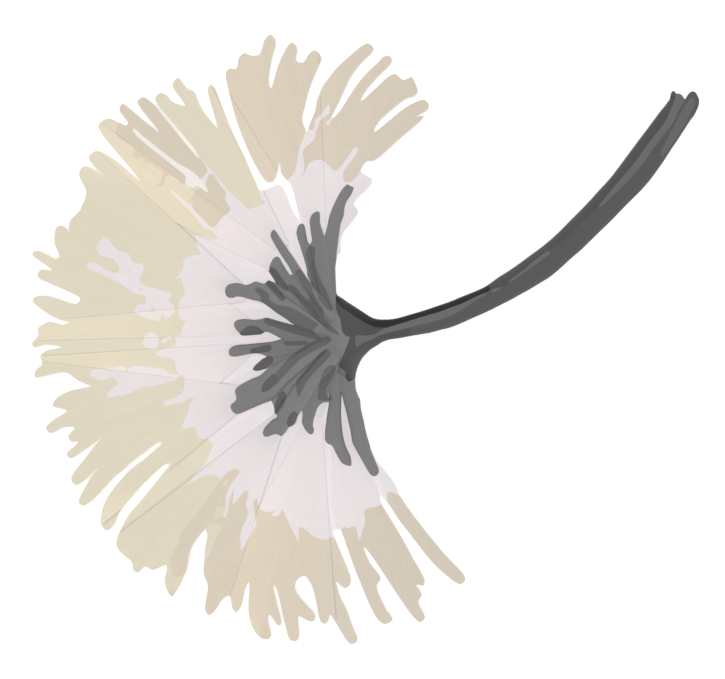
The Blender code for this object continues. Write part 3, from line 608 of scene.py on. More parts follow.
RECEPTACLE = C5([
    (55, 200), (52, 330), (75, 385), (92, 440), (95, 490), (115, 530),
    (140, 548), (162, 550), (148, 605), (100, 720), (70, 790), (82, 808),
    (115, 825), (130, 850), (128, 880), (140, 912), (158, 923), (180, 913),
    (205, 895), (260, 900), (320, 760), (480, 650), (640, 600), (640, 300),
    (350, 300), (80, 150)])
CALYX_SIDE = C5([
    (80, 150), (55, 200), (52, 330), (75, 385), (92, 440), (95, 490),
    (115, 530), (140, 548), (162, 550), (148, 605), (100, 720), (70, 790),
    (82, 808), (115, 825), (130, 850), (128, 880), (140, 912), (158, 923),
    (180, 913), (205, 895), (230, 1000), (-400, 1200), (-400, -200), (40, -100)])
CALYX_ZONES = [
    (B5([(790, 584), (812, 590), (828, 608), (826, 650), (823, 700), (835, 765),
         (855, 825), (885, 890), (930, 985), (955, 1050), (972, 1098),
         (960, 1126), (942, 1120), (900, 1078), (865, 1040), (848, 1018),
         (850, 1000), (835, 965), (812, 938), (795, 905), (797, 882),
         (780, 810), (762, 720), (750, 655), (752, 620), (768, 595)]), STREAK),
    (B5([(690, 775), (668, 785), (660, 805), (680, 845), (740, 940), (770, 985),
         (783, 1035), (760, 1025), (720, 990), (660, 920), (625, 903),
         (600, 905), (592, 925), (590, 955), (620, 960), (650, 985),
         (700, 1050), (760, 1120), (900, 1255), (960, 1295), (1025, 1322),
         (1010, 1290), (940, 1220), (895, 1165), (893, 1110), (870, 1070),
         (845, 1035), (830, 1010), (808, 965), (805, 940), (795, 905),
         (770, 870), (755, 845), (740, 815), (712, 782)]), STREAK),
    (B5([(350, 927), (332, 936), (330, 952), (375, 1000), (385, 1050),
         (440, 1090), (560, 1175), (655, 1240), (540, 1212), (420, 1180),
         (405, 1195), (405, 1218), (500, 1258), (640, 1305), (760, 1340),
         (828, 1360), (800, 1378), (775, 1385), (745, 1370), (700, 1367),
         (620, 1370), (575, 1368), (560, 1385), (580, 1405), (650, 1408),
         (745, 1405), (700, 1440), (650, 1480), (600, 1520), (560, 1565),
         (520, 1615), (483, 1655), (430, 1700), (395, 1745), (383, 1785),
         (420, 1788), (480, 1750), (530, 1700), (620, 1605), (700, 1525),
         (790, 1470), (860, 1430), (930, 1395), (960, 1365), (955, 1340),
         (930, 1332), (890, 1338), (850, 1325), (820, 1300), (808, 1280),
         (830, 1262), (852, 1235), (800, 1195), (700, 1130), (620, 1090),
         (570, 1078), (520, 1073), (480, 1052), (445, 1025), (450, 990),
         (430, 968), (385, 937)]), STREAK),
    (B6([(485, 360), (440, 395), (400, 440), (385, 490), (385, 508), (420, 508),
         (470, 470), (520, 418), (510, 385)]), DARK),
    (B6([(920, 158), (945, 170), (962, 198), (950, 215), (880, 290), (800, 375),
         (750, 440), (710, 520), (688, 552), (672, 500), (668, 450), (680, 405),
         (720, 355), (800, 265), (880, 180)]), STREAK),
    (B6([(970, 288), (990, 295), (998, 320), (985, 370), (950, 440), (920, 495),
         (935, 515), (960, 545), (970, 575), (920, 583), (880, 583), (850, 575),
         (848, 540), (855, 480), (870, 410), (895, 345), (930, 300)]), STREAK),
    (B6([(290, 158), (340, 145), (440, 120), (465, 130), (470, 155), (450, 175),
         (380, 188), (300, 195), (290, 180)]), DARK),
    (B5([(195, 1320), (225, 1280), (265, 1250), (310, 1243), (355, 1255),
         (390, 1280), (408, 1297), (385, 1325), (320, 1340), (220, 1340)]), DARK),
    (B6([(300, 335), (325, 300), (355, 270), (398, 235), (435, 212), (475, 222),
         (485, 245), (475, 275), (440, 298), (405, 330), (350, 350)]), DARK),
    (B6([(560, 505), (580, 515), (587, 540), (575, 600), (540, 655), (500, 695),
         (485, 665), (488, 630), (510, 570), (535, 520)]), DARK),
    (B6([(655, 668), (675, 685), (685, 705), (668, 760), (642, 790), (612, 805),
         (592, 770), (600, 735), (620, 695)]), DARK),
    (B5([(436, 790), (446, 764), (468, 758), (492, 770), (515, 795), (560, 860),
         (603, 925), (600, 945), (578, 957), (545, 925), (500, 890),
         (465, 835)]), DARK),
    (B5([(414, 888), (426, 872), (445, 865), (468, 880), (510, 920), (555, 975),
         (578, 1015), (570, 1038), (550, 1040), (530, 1025), (490, 980),
         (435, 922)]), DARK),
    (RECEPTACLE, UPPER),
]
STEM_ZONES = [(CALYX_SIDE, GREY)] + CALYX_ZONES + [
    # a painted shadow along the upper edge of the neck, then painted highlights along the stalk
    (on(0.4, 0.5, 1, [
      (334.8, 293), (345.8, 298.5), (370, 313), (384, 317), (400, 315),
      (430, 306), (455, 297), (475, 289), (488, 281), (490.3, 283),
      (490.4, 286), (490.2, 289.3), (488.6, 290.2), (485, 291.9), (480, 294.2),
      (475, 296.5), (470, 298.9), (465, 301.2), (460, 303.6), (450, 307.1),
      (440, 311), (430, 313.9), (420, 316.9), (410, 320), (400, 323.1),
      (393, 325.2), (388, 326.8), (380, 327.1), (375, 326.8), (370, 324.7),
      (360, 319.4), (350, 312.8), (340, 305.9), (336.5, 300)]), SHADOW_STRIP),
    (on(0.4, 0.5, 1, [
      (355.3, 345.9), (354.9, 341), (354.9, 336.5), (357, 334.4),
      (362.5, 334.9), (366, 335), (370.7, 334.4), (376, 332.6), (380, 330.3),
      (384.2, 327.7), (388, 326.8), (393, 325.2), (400, 323.1), (410, 320),
      (420, 316.9), (430, 313.9), (440, 311), (450, 307.1), (460, 303.6),
      (470, 298.9), (480, 294.2), (484, 293), (486.3, 293.3), (485, 294.7),
      (480, 297.2), (475, 299.9), (470, 303.2), (465, 306.5), (460, 310.4),
      (450, 315.2), (440, 319.2), (430, 321.8), (420, 324.1), (410, 326.7),
      (400, 329.4), (390, 331.6), (380, 334.7), (370, 339.6), (362.5, 342.4),
      (357.5, 345.7)]), SHINE),
    (on(0.4, 0.5, 1, [
      (490.2, 289.2), (494.1, 288), (497.2, 287.2), (501.1, 286.5),
      (504.5, 285), (506.9, 283.9), (508.9, 281.6), (509.7, 280.4),
      (515, 276.3), (520, 272.6), (525, 268.7), (530, 264.6), (534.6, 260.6),
      (540, 256.5), (544.9, 253), (548.9, 251.3), (550, 249.8), (560, 242.2),
      (570, 232.5), (580, 222.7), (590, 213.5), (595, 208.5), (598.5, 204.5),
      (601, 202), (605.6, 195.9), (610.5, 190), (618.9, 180), (627.8, 170),
      (635.8, 160), (642.8, 150), (650.3, 140), (654, 135), (658.5, 130),
      (662, 125.1), (665.3, 120), (667.6, 115.3), (670, 110), (671.9, 105),
      (674, 100), (674.9, 96.6), (674.9, 93), (674, 88), (668, 86), (660, 98),
      (640, 128), (620, 156), (600, 180), (570, 211), (540, 239), (515, 258),
      (495, 272), (488, 280)]), UPPER),
    (on(0.4, 0.5, 1, [
      (490.3, 289.9), (494.1, 288), (497.2, 287.2), (501.1, 286.5),
      (499.9, 288.2), (497.6, 290.2), (494.8, 291.6), (492, 291.2)]), SHINE),
    (on(0.1, -0.2, 1, [
      (508.1, 282.5), (509.7, 280.4), (515, 276.3), (520, 272.6), (525, 268.7),
      (530, 264.6), (534.6, 260.6), (540, 256.5), (544.9, 253), (548.9, 251.3),
      (550, 252.5), (549.5, 254.1), (544.9, 257.6), (540, 261.3),
      (534.6, 265.5), (530, 269), (525, 272.3), (520, 275.8), (515, 279.2),
      (510.5, 281.9)]), SHINE),
    (on(0.4, 0.5, 1, [
      (598.3, 204.8), (601, 202), (605.6, 195.9), (610.5, 190), (618.9, 180),
      (627.8, 170), (635.8, 160), (642.8, 150), (650.3, 140), (654, 135),
      (658.5, 130), (662, 125.1), (665.3, 120), (667.6, 115.3), (670, 110),
      (671.9, 105), (674, 100), (674.9, 96.6), (674.9, 93), (677, 91),
      (681, 92.5), (685, 97.5), (684.5, 100), (681.2, 105), (678, 110),
      (675.6, 115.3), (673.7, 120), (670.5, 125.3), (666.2, 130), (662.5, 135),
      (658.7, 140), (651.7, 150), (644.7, 160), (636.7, 170), (627.8, 180),
      (619.2, 189), (610.2, 197.3), (604.5, 202.8), (600.4, 206.5),
      (598.6, 206.5)]), SHINE),
    (on(0.4, 0.5, 1, [
      (660.1, 155.6), (659.8, 152), (662.5, 146.2), (666.2, 140),
      (669.5, 133.1), (670.9, 130), (675.1, 122.8), (679.8, 113.4),
      (681.7, 110), (685.9, 103.1), (687.8, 100), (689.7, 98.4), (691.5, 97.8),
      (693.4, 98.2), (694.6, 100), (694.9, 102.2), (693.9, 105.9),
      (691.5, 110), (687.3, 118.1), (684, 123.7), (680, 130), (676.5, 135.9),
      (673.7, 140), (670, 145.3), (666.7, 150), (663.4, 154.2),
      (661.6, 155.8)]), SHINE_2),
]


def smooth_zones(zones):
    return [(wound(curve_through(poly, 2.6)), color) for poly, color in zones]


FILAMENT_ZONES = smooth_zones(FILAMENT_ZONES)
CALYX_ZONES = smooth_zones(CALYX_ZONES)
STEM_ZONES = smooth_zones(STEM_ZONES)


# ------------------------------------------------------------ heights, metres
def wander(p, seed, size):
    grow = smoothstep(245.0, 310.0, radius(p))
    return size * grow * noise.noise(Vector((angle(p) * 0.16, seed, 0.3)))


def rim_height(p, level=0):
    m = radius(p) * DU
    return (HEAD_Z - 0.0006 + 0.03 * m - 3.5 * m * m + level * STEP_Z
            + wander(p, 1.7, 0.0011))


RINGS = {
    "mid": (0.445, 0.0020, 0.0032, -1, 0.43, 9.0, -42.0),
    "top": (0.80, 0.00305, 0.00217, -1, 0.78, 18.0, -45.0),
    "low": (-0.45, -0.0028, 0.0026, 1, -0.34, -6.0, 22.0),
    "floor": (-0.85, -0.0036, 0.0013, 1, -0.85, 0.0, 0.0),
}
FANS = {
    "mid_1": ((316.0, 216.0), 5.2, 95.0, 116.5, 3.0, "tan"),
    "mid_2": ((277.0, 262.0), 5.2, 122.0, 149.0, 3.0, "cream"),
    "mid_3": ((240.0, 327.0), 7.2, 152.0, 181.0, 3.0, "cream"),
    "mid_4": ((235.0, 352.0), 5.2, 184.0, 213.0, 3.0, "cream"),
    "mid_5": ((310.0, 429.0), 5.6, 243.0, 269.0, 3.0, "tan"),
    "top_1": ((275.0, 236.0), 4.8, 118.0, 139.0, 6.0, "cream"),
    "top_2": ((233.0, 290.5), 6.3, 143.0, 178.0, 6.0, "cream"),
    "top_3": ((241.0, 400.0), 12.0, 184.0, 218.0, 6.0, "cream"),
    "top_4": ((272.0, 429.0), 8.5, 221.0, 247.0, 6.0, "tan"),
    "low_1": (polar(94.0, 112.0), 5.6, 88.0, 137.0, 4.0, "tan"),
    "low_2": (polar(96.0, 172.0), 5.6, 142.0, 204.0, 4.0, "cream"),
    "low_3": (polar(94.0, 236.0), 5.6, 209.0, 268.0, 4.0, "tan"),
    "floor_1": (polar(82.0, 148.0), 5.6, 119.0, 181.0, 7.0, "cream"),
    "floor_2": (polar(82.0, 214.0), 5.6, 187.0, 249.0, 7.0, "cream"),
}
FAN_BACK = 14.0
FAN_MOUTH = 6.5


def fan_outline(tip, a0, a1):
    away = math.radians(angle(tip))
    ux, uy = math.cos(away), -math.sin(away)
    sx, sy = tip[0] - ux * FAN_BACK, tip[1] - uy * FAN_BACK
    left = (sx + uy * FAN_MOUTH, sy - ux * FAN_MOUTH)
    right = (sx - uy * FAN_MOUTH, sy + ux * FAN_MOUTH)
    rim = [polar(335.0, a1 + (a0 - a1) * i / 40.0) for i in range(41)]
    out = []
    for a, b in ((right, left), (left, rim[0])):
        n = max(1, int(math.dist(a, b) / 2.2))
        out += [(a[0] + (b[0] - a[0]) * i / n, a[1] + (b[1] - a[1]) * i / n)
                for i in range(n)]
    out += rim
    a, b = rim[-1], right
    n = max(1, int(math.dist(a, b) / 2.2))
    out += [(a[0] + (b[0] - a[0]) * i / n, a[1] + (b[1] - a[1]) * i / n)
            for i in range(1, n)]
    return out


def calyx_line(ring, m):
    slope, z0, m0 = RINGS[ring][:3]
    return HEAD_Z + z0 + slope * (m - m0)


def fan_height(key, p):
    ring = key.split("_")[0]
    _s, _z, _m, way, slope, bend, sag = RINGS[ring]
    tip, half, a0, a1 = FANS[key][:4]
    m, m_tip = radius(p) * DU, radius(tip) * DU
    lean = math.hypot(1.0, _s)
    off = way * ((half * DU + SHEET_T / 2) * lean + GAP + 0.0001)
    if m < m_tip:
        z = calyx_line(ring, m) + off
    else:
        d = m - m_tip
        z = calyx_line(ring, m_tip) + off + slope * d - bend * d * d
    axis = angle(tip) + ((a0 + a1) / 2 - angle(tip)) * smoothstep(
        radius(tip), 300.0, radius(p))
    q = m * math.sin(math.radians(angle(p) - axis))
    z += sag * q * q * smoothstep(radius(tip), radius(tip) + 60.0, radius(p))
    if ring == "floor":
        lie, soft = SHEET_T * 0.5, 0.0016
        if z < lie + soft:
            z = lie + soft * math.exp((z - lie - soft) / soft)
        return lie + (z - lie) * (1.0 - smoothstep(172.0, 192.0, radius(p)))
    return z + wander(p, len(key) * 1.7 + a0 * 0.37, 0.0020)


# ------------------------------------------------------------ the mesh of a piece
def offset_points(poly, dist, every=1):
    """Points at a distance inside a wound outline."""
    a = np.asarray(poly, float)
    nxt, prv = np.roll(a, -1, axis=0), np.roll(a, 1, axis=0)
    d1, d2 = a - prv, nxt - a
    d1 /= np.maximum(np.hypot(d1[:, 0], d1[:, 1]), 1e-9)[:, None]
    d2 /= np.maximum(np.hypot(d2[:, 0], d2[:, 1]), 1e-9)[:, None]
    t = d1 + d2
    n = np.stack([-t[:, 1], t[:, 0]], 1)
    n /= np.maximum(np.hypot(n[:, 0], n[:, 1]), 1e-9)[:, None]
    pts = (a + n * dist)[::every]
    keep = is_inside(pts, poly) & (edge_distance(pts, poly) > dist * 0.86)
    return pts[keep]


def lattice(poly, step, clear):
    a = np.asarray(poly, float)
    lo, hi = a.min(0), a.max(0)
    rows = []
    k = 0
    y = lo[1] + step * 0.37
    while y < hi[1]:
        xs = np.arange(lo[0] + (step / 2 if k % 2 else 0.0), hi[0], step)
        rows.append(np.stack([xs, np.full(len(xs), y)], 1))
        y += step * 0.866
        k += 1
    pts = np.concatenate(rows)
    pts = pts[is_inside(pts, poly)]
    return pts[edge_distance(pts, poly) > clear]


def plan_mesh(outline, zones, base, rings, step, mask=None):
    """Triangles that fill an outline (and lie inside mask, if given), cut along
    the zones' edges.  Returns points, triangles and a colour for each."""
    outline = wound(outline)
    box = np.asarray(outline, float)
    lo, hi = box.min(0) - 1, box.max(0) + 1
    used = []
    for poly, color in zones:
        z = np.asarray(poly, float)
        if (z.max(0) > lo).all() and (z.min(0) < hi).all():
            used.append((poly, color))
    polys = [outline] + ([wound(mask)] if mask else []) + [p for p, _c in used]
    extra = [offset_points(outline, d) for d in rings]
    extra.append(lattice(outline, step, max(rings) + step * 0.45))
    if mask:
        m = wound(mask)
        extra = [e[is_inside(e, m)] for e in extra]
        extra = [e[edge_distance(e, m) > 0.35] if len(e) else e for e in extra]
        near = np.asarray(m, float)
        for d in rings:
            o = offset_points(m, d)
            o = o[is_inside(o, outline)]
            if len(o):
                o = o[edge_distance(o, outline) > d * 0.86]
            extra.append(o)
    verts, faces = [], []
    for poly in polys:
        faces.append(list(range(len(verts), len(verts) + len(poly))))
        verts += [Vector(p) for p in poly]
    for e in extra:
        verts += [Vector(p) for p in e]
    vs, _es, fs, _ov, _oe, src = delaunay_2d_cdt(verts, [], faces, 1, 1e-4)
    need = {0, 1} if mask else {0}
    first = len(need)
    tris, cols = [], []
    for f, s in zip(fs, src):
        s = set(s)
        if not need <= s:
            continue
        top = max([i for i in s if i >= first], default=-1)
        tris.append(tuple(f[:3]))
        cols.append(used[top - first][1] if top >= 0 else base)
    return vs, tris, cols


def largest_part(tris):
    """Which triangles belong to the largest patch that hangs together."""
    share = {}
    for i, f in enumerate(tris):
        for a, b in zip(f, f[1:] + f[:1]):
            share.setdefault((min(a, b), max(a, b)), []).append(i)
    seen = [False] * len(tris)
    best = []
    for i in range(len(tris)):
        if seen[i]:
            continue
        seen[i] = True
        todo, part = [i], []
        while todo:
            j = todo.pop()
            part.append(j)
            f = tris[j]
            for a, b in zip(f, f[1:] + f[:1]):
                for k in share[(min(a, b), max(a, b))]:
                    if not seen[k]:
                        seen[k] = True
                        todo.append(k)
        if len(part) > len(best):
            best = part
    return best


def slab(name, plan, surfaces, strand, mat, crisp=False, cut=None, more=None,
         even=0.8, trim=(1.0, 1.0, 1.0)):
    """A closed piece between an upper and a lower surface over a plan.  crisp
    keeps the rim's edges sharp; cut is the line of a cut end, with the way
    into the piece; more adds loose threads (points, faces, colours, strand).
    Slopes are painted lighter, down to a tilt of cosine even: painted light that cancels the shade
    they get from the light above.
    trim is a small change of the whole sheet's colour."""
    vs, tris, cols = plan
    keep = largest_part(tris)
    tris = [tris[i] for i in keep]
    cols = [cols[i] for i in keep]
    flat = []
    for f in tris:
        a, b, c = (vs[i] for i in f)
        flat.append(f if (b - a).cross(c - a) < 0 else (f[0], f[2], f[1]))
    used = sorted({i for f in flat for i in f})
    index = {v: i for i, v in enumerate(used)}
    pts = np.array([(vs[i].x, vs[i].y) for i in used])
    half = {}
    for f in flat:
        for a, b in zip(f, f[1:] + f[:1]):
            half[(a, b)] = half.get((a, b), 0) + 1
    border = [(a, b) for a, b in half if (b, a) not in half]
    loop = np.array([[(vs[a].x, vs[a].y), (vs[b].x, vs[b].y)] for a, b in border])
    on_cut = np.zeros(len(loop), bool)
    if cut:
        line = np.asarray(cut[0], float)
        segs = np.stack([line[:-1], line[1:]], 1)
        on_cut = nearest_on(loop.mean(1), segs) < 0.2
    d = nearest_on(pts, loop[~on_cut])
    for (a, b), c in zip(border, on_cut):
        if not c:
            d[index[a]] = 0.0
            d[index[b]] = 0.0
    top, low = surfaces(pts, d)
    n = len(used)
    verts = [place(p, z) for p, z in zip(pts, top)]
    verts += [place(p, z) for p, z in zip(pts, low)]
    faces, shade = [], []
    for f, c in zip(flat, cols):
        f = tuple(index[i] for i in f)
        faces.append(f)
        shade.append(c)
        faces.append((f[0] + n, f[2] + n, f[1] + n))
        shade.append(c)
    edge_color = {}
    for f, c in zip(flat, cols):
        for a, b in zip(f, f[1:] + f[:1]):
            edge_color[(a, b)] = c
    rows = {}
    for (a, b), c in zip(border, on_cut):
        i, j = index[a], index[b]
        if not c:
            faces.append((j, i, i + n, j + n))
            shade.append(edge_color[(a, b)])
            continue
        # the cut face, a little hollow between its rims
        for v, k in ((a, i), (b, j)):
            if k in rows:
                continue
            rows[k] = [k]
            for r in range(1, 6):
                t = r / 6
                dip = 1.7 * math.sin(math.pi * t) * smoothstep(0.0, 4.0, d[k])
                dip *= 0.8 + 0.35 * math.sin(2.1 * d[k] + 9.0 * t)
                q = (pts[k][0] + cut[1][0] * dip, pts[k][1] + cut[1][1] * dip)
                rows[k].append(len(verts))
                verts.append(place(q, top[k] + (low[k] - top[k]) * t))
            rows[k].append(k + n)
        for r in range(6):
            faces.append((rows[j][r], rows[i][r], rows[i][r + 1], rows[j][r + 1]))
            shade.append(cut[2])
    wall = len(verts) - 2 * n
    sheet_faces = len(faces)
    if more:
        shift = len(verts)
        verts += more[0]
        faces += [tuple(i + shift for i in f) for f in more[1]]
        shade += more[2]
    mesh = bpy.data.meshes.new(name)
    mesh.from_pydata(verts, [], faces)
    mesh.update()
    mesh.shade_smooth()
    tint = mesh.color_attributes.new("tint", 'FLOAT_COLOR', 'CORNER')
    data = np.ones((len(mesh.loops), 4), np.float32)
    normal = np.empty(len(mesh.vertices) * 3, np.float32)
    mesh.vertex_normals.foreach_get("vector", normal)
    # painted light: each face's tint is raised by how much less light a tilted face gets than a
    # level one, to cancel its shade
    up = np.clip(normal.reshape(-1, 3)[:n, 2], even, 1.0)
    gain = np.ones(len(verts))
    gain[:n] = LIGHT / (SUN * up + SKY * (0.5 + 0.5 * up) + BOUNCE * (0.5 - 0.5 * up)
                        + GLOW)
    gain[n:2 * n] = gain[:n]
    k = 0
    for f, c in zip(faces, shade):
        data[k:k + len(f), :3] = np.multiply(c, trim)
        data[k:k + len(f), :3] *= gain[list(f), None]
        if crisp and min(f) >= n and max(f) < 2 * n:
            # painted light: the underside of a tuft is painted paler, to lift the shade under the
            # layers
            data[k:k + len(f), :3] = data[k:k + len(f), :3] * 0.8 + 0.17
        k += len(f)
    data[:, :3] = np.minimum(data[:, :3], 0.93)
    tint.data.foreach_set("color", data.ravel())
    fibre = mesh.attributes.new("strand", 'FLOAT_VECTOR', 'POINT')
    base = strand(pts)
    coords = np.concatenate([base, base] + [base[:1]] * wall)
    for k, row in rows.items():
        for r, v in enumerate(row[1:-1]):
            coords[v] = base[k] + (0.0, 0.02 * (r + 1), 3.0)
    if more:
        coords = np.concatenate([coords, more[3]])
    fibre.data.foreach_set("vector", coords.astype(np.float32).ravel())
    if crisp or cut:
        rim = set()
        for (a, b), c in zip(border, on_cut):
            if crisp or c:
                i, j = index[a], index[b]
                rim.add((min(i, j), max(i, j)))
                rim.add((min(i, j) + n, max(i, j) + n))
        sharp = mesh.attributes.new("sharp_edge", 'BOOLEAN', 'EDGE')
        ends = np.empty(len(mesh.edges) * 2, np.int32)
        mesh.edges.foreach_get("vertices", ends)
        ends = np.sort(ends.reshape(-1, 2), axis=1)
        flags = np.array([(a, b) in rim for a, b in ends.tolist()], bool)
        sharp.data.foreach_set("value", flags)
    mesh.materials.append(mat)
    obj = bpy.data.objects.new(name, mesh)
    bpy.context.scene.collection.objects.link(obj)
    return obj


def head_strand(seed):
    """Coordinates across and along the strands that leave the head's centre."""
    def f(pts):
        dx, dy = pts[:, 0] - HEAD_X, HEAD_Y - pts[:, 1]
        a = np.degrees(np.arctan2(dy, dx))
        a = np.where(a < -20.0, a + 360.0, a)
        r = np.hypot(dx, dy)
        return np.stack([a, r / 100.0, np.full(len(pts), seed)], 1)
    return f


# ------------------------------------------------------------ materials
def new_material(name):
    mat = bpy.data.materials.new(name)
    mat.use_nodes = True
    nt = mat.node_tree
    return mat, nt, nt.nodes["Principled BSDF"]


def node(nt, kind, x, y, **values):
    n = nt.nodes.new(kind)
    n.location = (x, y)
    for k, v in values.items():
        setattr(n, k, v)
    return n


def plant_material(name, across, along, depth, rough, bump, sheen, spec, glow):
    """The painted tint of a piece, with fibres that run along it."""
    mat, nt, bsdf = new_material(name)
    tint = node(nt, "ShaderNodeAttribute", -900, 200, attribute_name="tint")
    strand = node(nt, "ShaderNodeAttribute", -1300, -100, attribute_name="strand")
    scale = node(nt, "ShaderNodeMapping", -1100, -100)
    scale.inputs["Scale"].default_value = (across, along, 1.0)
    fine = node(nt, "ShaderNodeTexNoise", -900, -100)
    fine.inputs["Scale"].default_value = 1.0
    fine.inputs["Detail"].default_value = 3.0
    fine.inputs["Roughness"].default_value = 0.6
    mottle = node(nt, "ShaderNodeTexNoise", -900, -350)
    mottle.inputs["Scale"].default_value = 900.0
    mottle.inputs["Detail"].default_value = 2.0
    geo = node(nt, "ShaderNodeTexCoord", -1100, -350)
    ramp = node(nt, "ShaderNodeMapRange", -680, -100)
    ramp.inputs["From Min"].default_value = 0.3
    ramp.inputs["From Max"].default_value = 0.7
    ramp.inputs["To Min"].default_value = 1.0 - depth
    ramp.inputs["To Max"].default_value = 1.0 + depth
    ramp2 = node(nt, "ShaderNodeMapRange", -680, -350)
    ramp2.inputs["From Min"].default_value = 0.3
    ramp2.inputs["From Max"].default_value = 0.7
    ramp2.inputs["To Min"].default_value = 1.0 - depth * 0.4
    ramp2.inputs["To Max"].default_value = 1.0 + depth * 0.4
    mul = node(nt, "ShaderNodeVectorMath", -450, 100, operation='SCALE')
    mul2 = node(nt, "ShaderNodeVectorMath", -250, 100, operation='SCALE')
    nt.links.new(strand.outputs["Vector"], scale.inputs["Vector"])
    nt.links.new(scale.outputs["Vector"], fine.inputs["Vector"])
    nt.links.new(geo.outputs["Object"], mottle.inputs["Vector"])
    nt.links.new(fine.outputs["Fac"], ramp.inputs["Value"])
    nt.links.new(mottle.outputs["Fac"], ramp2.inputs["Value"])
    nt.links.new(tint.outputs["Color"], mul.inputs[0])
    nt.links.new(ramp.outputs["Result"], mul.inputs["Scale"])
    nt.links.new(mul.outputs["Vector"], mul2.inputs[0])
    nt.links.new(ramp2.outputs["Result"], mul2.inputs["Scale"])
    nt.links.new(mul2.outputs["Vector"], bsdf.inputs["Base Color"])
    bmp = node(nt, "ShaderNodeBump", -250, -250)
    bmp.inputs["Strength"].default_value = bump
    bmp.inputs["Distance"].default_value = 0.0001
    nt.links.new(fine.outputs["Fac"], bmp.inputs["Height"])
    nt.links.new(bmp.outputs["Normal"], bsdf.inputs["Normal"])
    # painted glow: the material emits its own tint at strength glow, which lifts the shade on it
    if glow:
        nt.links.new(mul2.outputs["Vector"], bsdf.inputs["Emission Color"])
        bsdf.inputs["Emission Strength"].default_value = glow
    bsdf.inputs["Roughness"].default_value = rough
    bsdf.inputs["Specular IOR Level"].default_value = spec
    bsdf.inputs["Sheen Weight"].default_value = sheen
    bsdf.inputs["Sheen Roughness"].default_value = 0.5
    return mat


FILAMENT_MAT = plant_material("filaments", 2.6, 1.1, 0.02, 0.85, 0.2, 0.05, 0.1, GLOW)
CALYX_MAT = plant_material("calyx", 1.1, 3.0, 0.035, 0.65, 0.3, 0.0, 0.15, GLOW)
STEM_MAT = plant_material("stem", 1.0, 0.5, 0.035, 0.6, 0.35, 0.0, 0.2, GLOW)


def shrink(poly, dist):
    """The outline moved inward, as points in order."""
    a = np.asarray(wound(poly), float)
    nxt, prv = np.roll(a, -1, axis=0), np.roll(a, 1, axis=0)
    d1, d2 = a - prv, nxt - a
    d1 /= np.maximum(np.hypot(d1[:, 0], d1[:, 1]), 1e-9)[:, None]
    d2 /= np.maximum(np.hypot(d2[:, 0], d2[:, 1]), 1e-9)[:, None]
    t = d1 + d2
    n = np.stack([-t[:, 1], t[:, 0]], 1)
    n /= np.maximum(np.hypot(n[:, 0], n[:, 1]), 1e-9)[:, None]
    pts = a + n * dist
    keep = is_inside(pts, a) & (edge_distance(pts, a) > dist * 0.93)
    return [tuple(p) for p in pts[keep]]


